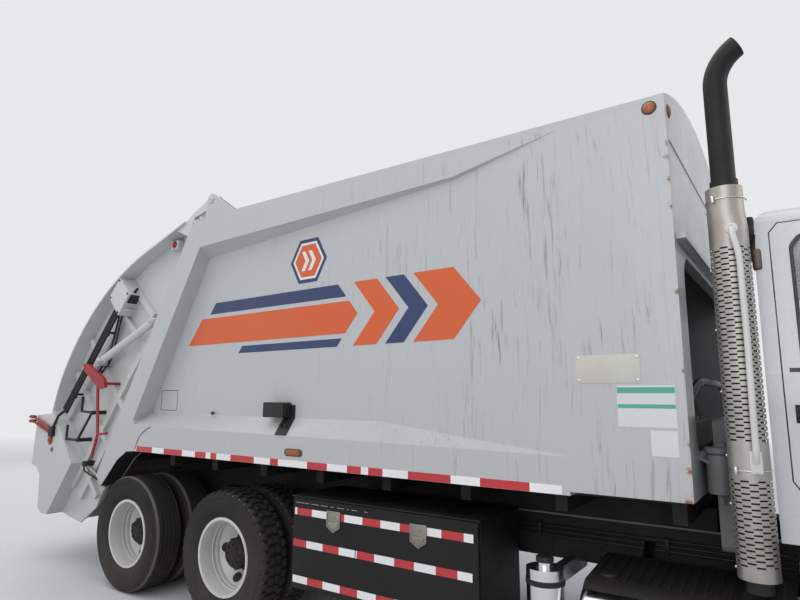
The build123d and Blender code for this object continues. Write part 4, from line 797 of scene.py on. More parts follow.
@dataclass
class Tyre:
    """One truck tyre, spun from its section, with plain ribs or with traction blocks."""

    traction: bool
    radius: float = 0.5075
    half_width: float = 0.1375
    bead: float = 0.2875
    groove: float = 0.013
    rib_lines: Pair = (0.058, 0.0195)
    blocks: int = 44
    steps: int = 112
    lug: tuple[Pair, ...] = ((0.066, -0.02), (0.067, 0.0), (0.098, -0.001), (0.1165, -0.009),
                             (0.1285, -0.026), (0.1265, -0.042), (0.1, -0.04))
    centre_block: tuple[Pair, ...] = ((0.012, 0.006), (0.056, 0.003), (0.064, 0.058), (0.02, 0.061))

    def section(self) -> list[Pair]:
        """The section as (radius, along) points, over the outside and back through the inside."""
        crown = self.radius - (0.017 if self.traction else 0.0)
        wide = self.half_width
        half = [(self.bead, 0.103), (self.bead + 0.014, 0.106), (0.318, 0.113), (0.334, 0.121),
                (0.338, 0.1255), (0.35, 0.1285), (0.385, wide - 0.0005), (0.425, wide), (0.45, 0.1345),
                (0.4525, 0.1365), (0.457, 0.1358), (0.459, 0.132), (0.476, 0.1265), (crown - 0.012, 0.119),
                (crown - 0.003, 0.108), (crown, 0.099)]
        if not self.traction:
            for line in self.rib_lines:
                half += [(crown - deep * self.groove, line + place)
                         for place, deep in ((0.0048, 0), (0.0035, 1), (-0.0035, 1), (-0.0048, 0))]
        inside = [(crown - 0.022, 0.0), (crown - 0.024, 0.09), (0.44, 0.122), (0.36, 0.115),
                  (self.bead + 0.012, 0.088)]
        outside = half + [(r, -a) for r, a in reversed(half)]
        return outside + [(r, -a) for r, a in reversed(inside[1:])] + inside

    def build(self) -> Object:
        """The tyre on the rearmost axle's middle."""
        middle = at(0, 0, HUB_UP)
        parts = [turned(self.section(), middle, Along.Y, self.steps)]
        top = HUB_UP + self.radius
        if self.traction:
            for side in (-1, 1):
                shoulder = plate([at(-0.021, side * y, top + z) for y, z in self.lug], (0.044, 0, 0), 0.003)
                centre = plate([at(x, side * y, top - 0.023) for x, y in self.centre_block], (0, 0, 0.018),
                               0.0025)
                parts += [ring_of(piece, self.blocks, middle, Along.Y) for piece in (shoulder, centre)]
        return joined(parts)


@dataclass
class WheelFleet:
    """All tyres and the hardware at each wheel's middle."""

    twin_middles: Pair = (1.102, 0.76)
    steer_middle: float = 1.04
    nuts: int = 10
    hub_line: tuple[Pair, ...] = ((0.0, 0.95), (0.1508, 0.95), (0.1508, 0.9565), (0.1145, 0.9645),
                                  (0.1145, 1.083), (0.0905, 1.1085), (0.052, 1.1085), (0.05, 1.113),
                                  (0.0, 1.115))
    front_hub_line: tuple[Pair, ...] = ((0.0, 1.186), (0.1415, 1.186), (0.1415, 1.1905), (0.0825, 1.238),
                                        (0.078, 1.252), (0.05, 1.258), (0.0, 1.259))
    step_lines: tuple[tuple[Pair, ...], ...] = (
        ((0.2772, 1.029), (0.2772, 1.056), (0.2715, 1.056), (0.2675, 1.048), (0.2675, 1.0265)),
        ((0.2775, 1.082), (0.2775, 1.094), (0.2725, 1.0915), (0.2725, 1.0845)),
        ((0.2985, 1.203), (0.3005, 1.2085), (0.2985, 1.214), (0.28, 1.2145), (0.277, 1.2085), (0.277, 1.203)))
    hole_ring: float = 0.222
    hole_radius: float = 0.041
    hole_across: float = 0.987
    hole_lean: float = math.radians(39.2)
    hole_start: float = math.radians(36)
    holes: int = 5

    def build(self) -> None:
        """Makes and fits every wheel's pieces."""
        ribbed, traction = Tyre(False).build(), Tyre(True).build()
        for side, word in reversed(SIDES):
            sets = (("tyres_rear_", "wheel_rear_", 0.0, ribbed, self.twin_middles),
                    ("tyres_middle_", "wheel_middle_", TANDEM, traction, self.twin_middles),
                    ("tyre_front_", "wheel_front_", FRONT_AXLE, ribbed, (self.steer_middle,)))
            for node, body, axle, pattern, middles in sets:
                tyres = joined([moved(pattern, (axle, side * middle, 0)) for middle in middles])
                fit(tyres, node + word + ".tread", body + word, "tyre rubber", "tyre", 40.0)
                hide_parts(node + word)
                edges = self.worn_edges(Tyre(pattern is traction), axle, middles, side)
                fit(edges, node + word + ".worn_edges", body + word, "tread edge", "tyre")
            for body, axle in (("wheel_rear_", 0.0), ("wheel_middle_", TANDEM)):
                # Each hub's mesh also holds painted shade: black discs in the twin wheel's five holes.
                fit(self.rear_hub(axle, side), "hub_" + body + word, body + word, "hub black", "black_steel")
                fit(self.rim_steps(axle, side), "rim_steps_" + body + word, body + word, "wheel white",
                    "wheel_white")
            fit(self.front_hub(side), "hub_wheel_front_" + word, "wheel_front_" + word, "hub black",
                "black_steel")
        for pattern in (ribbed, traction):
            bpy.data.objects.remove(pattern)

    def nut_ring(self, axle: float, across: float, ring: float, side: int) -> Object:
        """A ring of wheel nuts with their stud ends."""
        place = at(axle, side * across, HUB_UP + ring)
        nut = joined([drum(place, 0.0165, 0.026, Along.Y, 6, 0.0015),
                      drum(place, 0.021, 0.006, Along.Y, 24, 0.001),
                      drum(place + Vector((0, side * 0.012, 0)), 0.0105, 0.03, Along.Y, 12, 0.0015)])
        return ring_of(nut, self.nuts, at(axle, 0, HUB_UP), Along.Y)

    def rear_hub(self, axle: float, side: int) -> Object:
        """The black hub of a twin wheel: flange, barrel with ribs, and the axle shaft's bolted end, joined
        with the wheel nuts and with black discs of painted shade in the disc's five holes.
        """
        middle = at(axle, 0, HUB_UP)
        hub = turned([(r, side * a) for r, a in self.hub_line], middle, Along.Y, 48)
        rib = block(at(axle - 0.008, side * 0.962, HUB_UP + 0.108),
                    at(axle + 0.008, side * 1.078, HUB_UP + 0.126), 0.003)
        bolt = drum(at(axle, side * 1.112, HUB_UP + 0.072), 0.0105, 0.012, Along.Y, 6, 0.0015)
        return joined([hub, ring_of(rib, 10, middle, Along.Y), ring_of(bolt, 8, middle, Along.Y),
                       self.nut_ring(axle, 0.966, 0.1345, side), self.hole_shade_discs(axle, side)])

    def hole_shade_discs(self, axle: float, side: int) -> Object:
        """Black discs on a twin wheel's dished disc where its five round holes are, painted shade for the
        dark seen through them.
        """
        out = Vector((math.cos(self.hole_start), 0, math.sin(self.hole_start)))
        leaning, upright = math.sin(self.hole_lean), math.cos(self.hole_lean)
        slope = out * upright + Vector((0, side * leaning, 0))
        normal = Vector((0, side * upright, 0)) - out * leaning
        centre = at(axle, side * self.hole_across, HUB_UP) + out * self.hole_ring
        turns = [2 * math.pi * i / 28 for i in range(28)]
        rim = [centre + (slope * math.cos(t) + slope.cross(normal) * math.sin(t)) * self.hole_radius
               for t in turns]
        return ring_of(plate(rim, normal * 0.0025, 0.001), self.holes, at(axle, 0, HUB_UP), Along.Y)

    def rim_steps(self, axle: float, side: int) -> Object:
        """The stepped ring where a twin wheel's disc meets its barrel, and the lock ring's bead."""
        middle = at(axle, 0, HUB_UP)
        return joined([turned([(r, side * a) for r, a in line], middle, Along.Y, 72)
                       for line in self.step_lines])

    def worn_edges(self, pattern: Tyre, axle: float, middles: Sequence[float], side: int) -> Object:
        """The pale worn bands at a tyre's shoulders."""
        crown = pattern.radius - 0.0005
        line = [(crown - 0.0115, 0.1198), (crown - 0.0022, 0.1093), (crown + 0.0007, 0.1),
                (crown - 0.004, 0.1), (crown - 0.013, 0.115)]
        if pattern.traction:
            line = [(r - 0.0165, a + 0.0004) for r, a in line]
        bands = [[(r, side * (middle + way * a)) for r, a in line] for middle in middles for way in (-1, 1)]
        return joined([turned(band, at(axle, 0, HUB_UP), Along.Y, 96) for band in bands])

    def front_hub(self, side: int) -> Object:
        """The front wheel's hub with its oil cap."""
        middle = at(FRONT_AXLE, 0, HUB_UP)
        hub = turned([(r, side * a) for r, a in self.front_hub_line], middle, Along.Y, 48)
        bolt = drum(at(FRONT_AXLE, side * 1.256, HUB_UP + 0.062), 0.007, 0.01, Along.Y, 6, 0.001)
        return joined([hub, ring_of(bolt, 6, middle, Along.Y),
                       self.nut_ring(FRONT_AXLE, 1.187, 0.1575, side)])


# Load body


@dataclass
class Tape:
    """A row of red and white reflective tape, flat on a side.

    The marks are where the colour changes, in metres ahead of the rearmost axle. The colours are r for red
    and w for white, with a dash where there is a gap.
    """

    name: str
    body: str
    low: float
    high: float
    across: float
    marks: tuple[float, ...]
    colours: str
    thickness: float = 0.0008
    mirror: bool = False

    def build(self) -> None:
        """Lays the row."""
        face = self.across - self.thickness
        for letter, finish, slot in (("r", "tape red", "prop_red"), ("w", "tape white", "white_paint")):
            spans = zip(self.marks, self.marks[1:])
            runs = [span for span, colour in zip(spans, self.colours) if colour == letter]
            strips = joined([block(at(start, face, self.low), at(end, self.across, self.high), 0.0)
                             for start, end in runs])
            fitting = both_sides if self.mirror else fit
            fitting(strips, f"{self.name}_{letter}", self.body, finish, slot)


@dataclass
class SideDesign:
    """The painted stripes, chevrons and six-sided badge on the sloping field of each side."""

    low: float = 2.13
    high: float = 2.6
    point: float = 0.2
    film: float = 0.0006
    stripes_end: float = 2.46
    badge: Pair = (2.13, 2.83)

    @property
    def middle(self) -> float:
        """The height of the chevrons' points."""
        return (self.low + self.high) / 2

    def edge(self, up: float) -> float:
        """How far a chevron's edge runs ahead at a height."""
        return self.point * (1 - abs(up - self.middle) / (self.high - self.middle))

    def decal(self, points: Sequence[Pair], layer: int) -> Object:
        """A thin film of given outline on the field, the higher layers outermost."""
        return plate([at(x, recess_y(x) - self.film * layer, z) for x, z in points], (0, -self.film, 0), 0.0)

    def stripe(self, start: float, low: float, high: float) -> list[Pair]:
        """A stripe's outline, its front cut to the chevrons' angle and its tail slanted."""
        front = [(self.stripes_end + self.edge(low), low)]
        if low < self.middle < high:
            front.append((self.stripes_end + self.point, self.middle))
        front.append((self.stripes_end + self.edge(high), high))
        return [(start + (high - low) * 0.8, high), (start, low)] + front

    def chevron(self, start: float, width: float) -> list[Pair]:
        """A forward-pointing chevron's outline."""
        end = start + width
        return [(start, self.low), (end, self.low), (end + self.point, self.middle), (end, self.high),
                (start, self.high), (start + self.point, self.middle)]

    def hexagon(self, radius: float) -> list[Pair]:
        """The badge's six-sided outline with a flat top."""
        turns = [math.pi / 3 * i for i in range(6)]
        return [(self.badge[0] + radius * math.cos(t), self.badge[1] + radius * math.sin(t)) for t in turns]

    def build(self) -> None:
        """Makes the design on both sides."""
        arrow = [(-0.02, -0.08), (0.02, -0.08), (0.065, 0.0), (0.02, 0.08), (-0.02, 0.08), (0.025, 0.0)]
        arrows = [([(self.badge[0] + shift + x, self.badge[1] + z) for x, z in arrow], 4)
                  for shift in (-0.055, 0.02)]
        table = {
            "navy": [(self.stripe(0.86, 2.5, self.high), 1), (self.chevron(2.92, 0.16), 1),
                     (self.stripe(1.3, self.low, 2.19), 1), (self.hexagon(0.205), 1)],
            "orange": [(self.stripe(0.55, 2.225, 2.465), 1), (self.chevron(2.62, 0.22), 1),
                       (self.chevron(3.16, 0.32), 1), (self.hexagon(0.15), 3)],
            "white": [(self.hexagon(0.172), 2)] + arrows,
        }
        films = {colour: joined([self.decal(outline, layer) for outline, layer in outlines])
                 for colour, outlines in table.items()}
        for colour, film in films.items():
            both_sides(film, f"design_{colour}", "chassis", f"vinyl {colour}", "white_paint")


@dataclass
class Lamp:
    """A lens in its rubber ring on a flat face, with its mirror image on the truck's other side."""

    name: str
    body: str
    place: Point
    size: Pair
    faces: Along
    sign: int
    lens: str
    rim: float = 0.008
    rim_height: float = 0.007
    bulge: float = 0.014
    lens_lift: float = 0.003

    def radii(self, grow: float, deep: float) -> Point:
        """The dome's radii, its depth along the axis that it faces."""
        wide, high = self.size[0] + grow, self.size[1] + grow
        return (deep, wide, high) if self.faces is Along.X else (wide, deep, high)

    def build(self) -> None:
        """Fits the ring and the lens."""
        place = at(*self.place)
        ring = dome(place, self.radii(self.rim, self.rim_height))
        lens = dome(place + self.faces.vector * self.sign * self.lens_lift, self.radii(0.0, self.bulge))
        both_sides(ring, self.name + "_ring", self.body, "seal rubber", "black_steel")
        both_sides(lens, self.name + "_lens", self.body, self.lens, "glass")


@dataclass
class BodyTrim:
    """What is fixed or stuck to the load body: tape, lamps, plates, labels and seams."""

    side: float = BODY_SIDE_Y
    reds: tuple[Pair, ...] = ((0.069, 0.324), (0.506, 0.776), (0.958, 1.103), (1.166, 1.243), (1.419, 1.699),
                              (1.881, 1.968), (2.268, 2.461), (2.645, 2.768), (2.83, 2.949), (3.151, 3.465),
                              (3.663, 3.971))
    tape_ends: Pair = (0.06, 4.155)
    middle_marker: Pair = (2.126, 1.355)
    top_marker: Pair = (4.722, 3.32)
    old_plate: tuple[Pair, Pair] = ((4.26, 1.845), (4.595, 1.995))
    labels: tuple[tuple[Pair, Pair], ...] = (((4.47, 1.622), (4.752, 1.832)), ((4.625, 1.482), (4.75, 1.607)))
    label_bands: tuple[Pair, ...] = ((1.792, 0.03), (1.716, 0.02))
    access: tuple[Pair, Pair] = ((0.15, 1.63), (0.42, 1.815))
    weld: tuple[Pair, ...] = ((0.045, 1.27), (0.075, 1.345), (0.135, 1.415), (0.205, 1.455), (0.27, 1.478))
    arch: tuple[Pair, ...] = ((0.04, 1.2495), (-0.1, 1.2394), (-0.25, 1.1494), (-0.5, 0.8894))
    web: tuple[Pair, ...] = ((0.66, 3.35), (0.9, 3.35), (0.9, 3.47), (0.8, 3.49), (0.66, 3.42))

    def build(self) -> None:
        """Makes all of it."""
        marks = (self.tape_ends[0], *(mark for run in self.reds for mark in run), self.tape_ends[1])
        colours = "".join("wr"[i % 2] for i in range(len(marks) - 1))
        Tape("skirt_tape", "chassis", 1.251, 1.299, self.side, marks, colours, mirror=True).build()
        SideDesign().build()
        self.markers()
        self.work_lamp()
        self.plates()
        self.hook()
        self.seams()

    def capsule(self, wide: float, high: float) -> list[Vector]:
        """A long outline with rounded ends round the middle marker, by its half width and half height."""
        turns = [math.pi * (i / 8 - 0.5) for i in range(9)]
        right = [(wide - high + high * math.cos(t), high * math.sin(t)) for t in turns]
        x, z = self.middle_marker
        return on_side([(x + a, z + b) for a, b in right + [(-a, -b) for a, b in right]], self.side)

    def markers(self) -> None:
        """Marker lamps on the sides and on the front wall."""
        base = plate(self.capsule(0.093, 0.0275), (0, -0.0045, 0), 0.0015)
        both_sides(base, "marker_mid_ring", "chassis", "seal rubber", "black_steel")
        lens = plate(self.capsule(0.068, 0.0195), (0, -0.011, 0), 0.005)
        both_sides(lens, "marker_mid_lens", "chassis", "amber lens", "glass")
        x, z = self.top_marker
        size = (0.032, 0.032)
        Lamp("marker_top", "chassis", (x, self.side, z), size, Along.Y, -1, "amber lens").build()
        Lamp("marker_front", "chassis", (FRONT_WALL, -1.12, z), size, Along.X, 1, "amber lens").build()

    def work_lamp(self) -> None:
        """The work lamp's lens, cooling fins and bolts."""
        lens = block(at(1.775, -1.213, 1.616), at(1.783, -1.144, 1.709), 0.003)
        fit(lens, "work_lamp_lens", "chassis", "clear lens", "glass")
        fins = [block(at(2.0, -1.21 + 0.018 * i, 1.618), at(2.012, -1.204 + 0.018 * i, 1.707), 0.002)
                for i in range(4)]
        bolts = [drum(at(x, -1.199, 1.548), 0.011, 0.014, Along.Y, 6, 0.001) for x in (1.955, 2.01)]
        fit(joined(fins + bolts), "work_lamp_fins", "chassis", "fitting black", "black_steel")

    def plates(self) -> None:
        """The yellowed blank plate with its screws, and two worn blank labels."""
        (rear, low), (front, high) = self.old_plate
        thick, inset = 0.003, 0.015
        sheet = block(at(rear, self.side - thick, low), at(front, self.side, high), 0.0012)
        fit(sheet, "side_plate", "chassis", "old plate", "white_paint")
        screws = [dome(at(x, self.side - thick, z), (0.007, thick, 0.007))
                  for x in (rear + inset, front - inset) for z in (low + inset, high - inset)]
        fit(joined(screws), "side_plate_screws", "chassis", "bright steel", "worn_steel")
        paper, margin = 0.0006, 0.002
        labels = [block(at(x, self.side - paper, z), at(x_end, self.side, z_end), 0.0)
                  for (x, z), (x_end, z_end) in self.labels]
        fit(joined(labels), "side_labels", "chassis", "label white", "white_paint")
        (rear, _), (front, _) = self.labels[0]
        bands = [block(at(rear + margin, self.side - 0.0011, z),
                       at(front - margin, self.side - 0.0005, z + high), 0.0) for z, high in self.label_bands]
        fit(joined(bands), "side_label_bands", "chassis", "label green", "white_paint")

    def hook(self) -> None:
        """The small hook low on the right side."""
        y = recess_y(1.02)
        line = [at(1.0, y + 0.004, 1.625), at(1.0, y - 0.03, 1.625), at(1.025, y - 0.034, 1.606),
                at(1.04, y - 0.02, 1.622)]
        fit(tube(line, 0.006, 0.015), "side_hook", "chassis", "fitting black", "black_steel")

    def seams(self) -> None:
        """The access panel's outline, the weld and liner over the wheel, and the hinge's web."""
        (rear, low), (front, high) = self.access
        loop = [(rear, low), (front, low), (front, high), (rear, high), (rear, low)]
        seam = tube([at(x, recess_y(x) - 0.0005, z) for x, z in loop], 0.0025, 0.012, 2)
        both_sides(seam, "access_panel_seam", "chassis", "seal rubber", "black_steel")
        weld = tube(on_side(self.weld, self.side - 0.0008), 0.0035, 0.04, 2)
        both_sides(weld, "wheel_weld", "chassis", "seal rubber", "black_steel")
        under = [(x + 0.0015, z - 0.003) for x, z in reversed(self.arch)]
        liner = plate(on_side([*self.arch, *under], self.side + 0.0015), (0, 0.166, 0), 0.0)
        both_sides(liner, "arch_liner", "chassis", "chassis black", "black_steel")
        web = plate(on_side(self.web, -1.122), (0, -0.008, 0), 0.002)
        both_sides(web, "hinge_web", "chassis", "body white", "white_paint")


# Toolbox, tanks and steps


@dataclass
class LowerTrim:
    """Latches and tape on the toolbox, straps and caps on the tanks, treads on the steps."""

    lid: float = -1.217
    latches: Pair = (2.533, 3.23)
    tapes: tuple[TapeRow, ...] = (
        (0.926, 0.974, (2.162, 2.183, 2.328, 2.474, 2.59, 2.628, 2.785, 2.935, 3.088, 3.172, 3.29, 3.395,
                        3.549, 3.612), "wrw-rwrwr-wrw"),
        (0.71, 0.758, (2.154, 2.283, 2.437, 2.585, 2.725, 2.732, 2.742, 2.887, 3.046, 3.197, 3.354, 3.504,
                       3.603), "rwrw-wrwrwrw"),
        (0.468, 0.516, (2.16, 2.3, 2.446, 2.6, 2.751, 2.904, 3.05, 3.2, 3.35, 3.5, 3.6), "wrwrwrwrwr"),
    )
    # Spans of the painted highlight along the toolbox lid's top edge, in metres ahead of the rearmost axle.
    highlight_spans: tuple[Pair, ...] = ((2.17, 2.3), (2.32, 2.39), (2.41, 2.475), (2.5, 2.53), (2.56, 2.62),
                              (2.65, 2.665), (2.69, 2.74), (2.8, 2.83))
    tank_straps: Pair = (4.42, 5.2)
    deck: tuple[Pair, ...] = ((0.6, 0.842), (0.88, 0.812), (1.04, 0.795), (1.09, 0.76), (1.085, 0.752),
                              (1.035, 0.783), (0.88, 0.797), (0.6, 0.828))
    deck_start: float = 4.2
    deck_length: float = 0.96
    grip_pitch: float = 0.055
    step_heights: Pair = (0.573, 0.893)

    def build(self) -> None:
        """Makes all of it."""
        for i, (low, high, marks, colours) in enumerate(self.tapes):
            Tape(f"toolbox_tape_{i}", "toolbox_door", low, high, self.lid, marks, colours).build()
        self.lid_edge_highlight()
        self.paddles()
        self.tanks()
        self.decks()
        self.steps()

    def lid_edge_highlight(self) -> None:
        """Painted highlight: broken pale marks along the toolbox lid's top edge, where it catches the light.
        """
        marks = joined([block(at(a, self.lid - 0.0006, 1.0085), at(b, self.lid, 1.0125), 0.0)
                        for a, b in self.highlight_spans])
        fit(marks, "toolbox_rubbed_edge", "toolbox_door", "ejector grey", "worn_steel")

    def paddles(self) -> None:
        """Two stainless paddle latches, each a five-sided cup with its paddle and keyhole."""
        cups, paddles = [], []
        shrink, middle = 0.86, 0.925
        for x in self.latches:
            rim = [(x - 0.062, 0.986), (x + 0.062, 0.986), (x + 0.062, 0.88), (x, 0.842), (x - 0.062, 0.88)]
            flap = [(x - 0.044, 0.915), (x + 0.044, 0.915), (x + 0.044, 0.888), (x, 0.861),
                    (x - 0.044, 0.888)]
            bead = [(x + (a - x) * shrink, middle + (z - middle) * shrink) for a, z in rim + rim[:1]]
            cups.append(plate(on_side(rim, -1.2222), (0, -0.0035, 0), 0.0015))
            cups.append(tube(on_side(bead, -1.2262), 0.0022, 0.006, 2))
            paddles.append(plate(on_side(flap, -1.2256), (0, -0.0045, 0), 0.0018))
            paddles.append(drum(at(x + 0.012, -1.2275, 0.951), 0.011, 0.005, Along.Y, 20, 0.001))
        fit(joined(cups), "toolbox_latches", "toolbox_door", "worn stainless", "shield_steel")
        fit(joined(paddles), "toolbox_paddles", "toolbox_door", "old nickel", "shield_steel")

    def tanks(self) -> None:
        """Black straps, the fillers and the small tank's cap."""
        parts = []
        band = [(0.2965, -0.024), (0.2965, 0.024), (0.3, 0.024), (0.3, -0.024)]
        for side in (-1, 1):
            parts += [turned(band, at(x, side * 0.88, 0.5), Along.X, 64) for x in self.tank_straps]
            parts.append(drum(at(4.3, side * 0.93, 0.79), 0.055, 0.06, Along.Z, 32, 0.006))
        ring = [(0.1065, -0.014), (0.1065, 0.014), (0.109, 0.014), (0.109, -0.014)]
        parts += [turned(ring, at(3.99, -1.08, z), Along.Z, 48) for z in (0.5, 0.76)]
        parts.append(drum(at(3.99, -1.08, 0.872), 0.05, 0.03, Along.Z, 10, 0.004))
        fit(joined(parts), "tank_straps", "chassis", "fitting black", "black_steel")

    def decks(self) -> None:
        """The dark tread deck over each tank."""
        for side, word in SIDES:
            line = [at(self.deck_start, side * y, z) for y, z in self.deck]
            parts = [plate(line, (self.deck_length, 0, 0), 0.002)]
            for i in range(17):
                x = self.deck_start + 0.03 + self.grip_pitch * i
                parts.append(bar(at(x, side * 0.64, 0.8405), at(x, side * 1.0, 0.802), 0.006, 0.02, 0.0015))
            fit(joined(parts), "tank_deck_" + word, "chassis", "chassis black", "black_steel")

    def steps(self) -> None:
        """Raised treads on the cab's steps."""
        for side, word in SIDES:
            bumps = [block(at(x, side * 1.03, z), at(x + 0.02, side * 1.17, z + 0.005), 0.002)
                     for z in self.step_heights for x in (5.51 + 0.046 * i for i in range(12))]
            fit(joined(bumps), "step_treads_" + word, "chassis", "bright steel", "black_steel")


# Exhaust


@dataclass
class HeatShield:
    """The pierced sheet round the outer half of the exhaust stack, with its clamps, screws and grab bar."""

    middle: Pair = (5.035, -1.145)
    radius: float = 0.0878
    ends: Pair = (0.96, 2.81)
    half_sweep: float = math.radians(96)
    cells: int = 8
    facets: int = 3
    pitch: float = 0.0137
    slot: float = 0.0078
    fields: tuple[tuple[float, int], ...] = ((1.02, 28), (1.573, 68))
    plain_top: Pair = (2.61, 2.69)
    trimmed_width: float = 0.86
    wall: float = 0.0028
    spacers: tuple[float, ...] = (1.2, 1.48, 2.6, 2.78)
    clamps: Pair = (1.44, 2.745)
    screws: tuple[float, ...] = (1.0, 1.28, 1.5, 1.8, 2.1, 2.4, 2.7)
    grab_line: tuple[Point, ...] = ((5.058, 0.024, 2.585), (5.062, 0.0, 2.545), (5.082, 0.0, 2.447),
                                    (5.083, 0.0, 2.036), (5.076, 0.0, 1.52), (5.071, 0.026, 1.483))
    grab_bolts: tuple[Pair, ...] = ((5.057, 2.6), (5.071, 1.445), (5.071, 1.515))

    def levels(self) -> list[tuple[float, int]]:
        """Heights of the sheet's cross lines, each with the row of slots that starts there, or -1."""
        marks = [(self.ends[0], -1)]
        for start, count in self.fields:
            for row in range(count):
                marks += [(start + row * self.pitch, row), (start + row * self.pitch + self.slot, -1)]
        return marks + [(up, -1) for up in (*self.plain_top, self.ends[1])]

    def wrap(self, share: float, up: float, radius: float) -> Vector:
        """A place on the bent sheet, its share going from 0 at the rear edge to 1 at the front edge."""
        angle = (2 * share - 1) * self.half_sweep - math.pi / 2
        return at(self.middle[0] + radius * math.cos(angle), self.middle[1] + radius * math.sin(angle), up)

    def sheet(self) -> Object:
        """The pierced and bent sheet, trimmed narrower at its top."""
        levels = self.levels()
        across, high = self.cells * self.facets, len(levels) - 1
        bpy.ops.mesh.primitive_grid_add(x_subdivisions=across, y_subdivisions=high, size=1)
        sheet = bpy.context.object
        bpy.ops.object.mode_set(mode="EDIT")
        bpy.ops.mesh.select_mode(type="FACE")
        bpy.ops.mesh.select_all(action="DESELECT")
        bpy.ops.object.mode_set(mode="OBJECT")
        for face in sheet.data.polygons:
            row = levels[int((face.center.y + 0.5) * high)][1]
            face.select = row >= 0 and (int((face.center.x + 0.5) * self.cells) + row) % 2 == 0
        for corner in sheet.data.vertices:
            level = levels[round((corner.co.y + 0.5) * high)][0]
            width = self.trimmed_width if level > self.plain_top[0] + 0.04 else 1.0
            corner.co = self.wrap((corner.co.x + 0.5) * width, level, self.radius)
        bpy.ops.object.mode_set(mode="EDIT")
        bpy.ops.mesh.delete(type="FACE")
        bpy.ops.mesh.select_mode(type="VERT")
        bpy.ops.mesh.select_all(action="SELECT")
        bpy.ops.mesh.normals_make_consistent(inside=False)
        bpy.ops.object.mode_set(mode="OBJECT")
        sheet.matrix_world = Matrix.Identity(4)
        wall = sheet.modifiers.new("wall", "SOLIDIFY")
        wall.thickness = self.wall
        wall.offset = -1
        only(sheet)
        bpy.ops.object.modifier_apply(modifier=wall.name)
        return sheet

    def build(self) -> None:
        """Makes the shield and what is fixed to it."""
        x, y = self.middle
        face = y - self.radius
        spacers = [block(at(x - 0.012, face + 0.0015, z - 0.012), at(x + 0.012, y - 0.055, z + 0.012), 0.002)
                   for z in self.spacers]
        sheet = joined([self.sheet()] + spacers)
        fit(sheet, "exhaust_shield.pierced", "chassis", "shield steel", "shield_steel", 30.0)
        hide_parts("exhaust_shield")
        inner = drum(at(x, y, 1.93), 0.076, 1.72, Along.Z, 40, 0.004)
        fit(inner, "exhaust_lagging", "chassis", "stack black", "stack_black")
        self.bands()
        self.grab_bar(face)

    def bands(self) -> None:
        """Wire clamps with their screws, and the row of screws at the rear edge."""
        parts = []
        for z in self.clamps:
            line = [self.wrap(i / 12, z, self.radius + 0.002) for i in range(13)]
            parts.append(tube(line, 0.0035, 0.01, 3))
            parts.append(drum(self.wrap(0.34, z, self.radius + 0.008), 0.009, 0.034, Along.Z, 12, 0.002))
        parts += [dome(self.wrap(0.05, z, self.radius + 0.001), (0.007, 0.007, 0.007)) for z in self.screws]
        fit(joined(parts), "exhaust_clamps", "chassis", "bright steel", "shield_steel")

    def grab_bar(self, face: float) -> None:
        """The bowed grab bar on its two feet, which stand on the shield's outermost line."""
        parts = [tube([at(x, face - 0.03 + inward, z) for x, inward, z in self.grab_line], 0.0145, 0.04, 5),
                 drum(at(5.057, face - 0.001, 2.585), 0.028, 0.01, Along.Y, 32, 0.003),
                 block(at(5.046, face - 0.005, 1.43), at(5.096, face + 0.0035, 1.53), 0.006)]
        parts += [drum(at(x, face - 0.007, z), 0.008, 0.008, Along.Y, 6, 0.001) for x, z in self.grab_bolts]
        fit(joined(parts), "exhaust_grab_bar", "chassis", "wheel white", "shield_steel")


# Tailgate


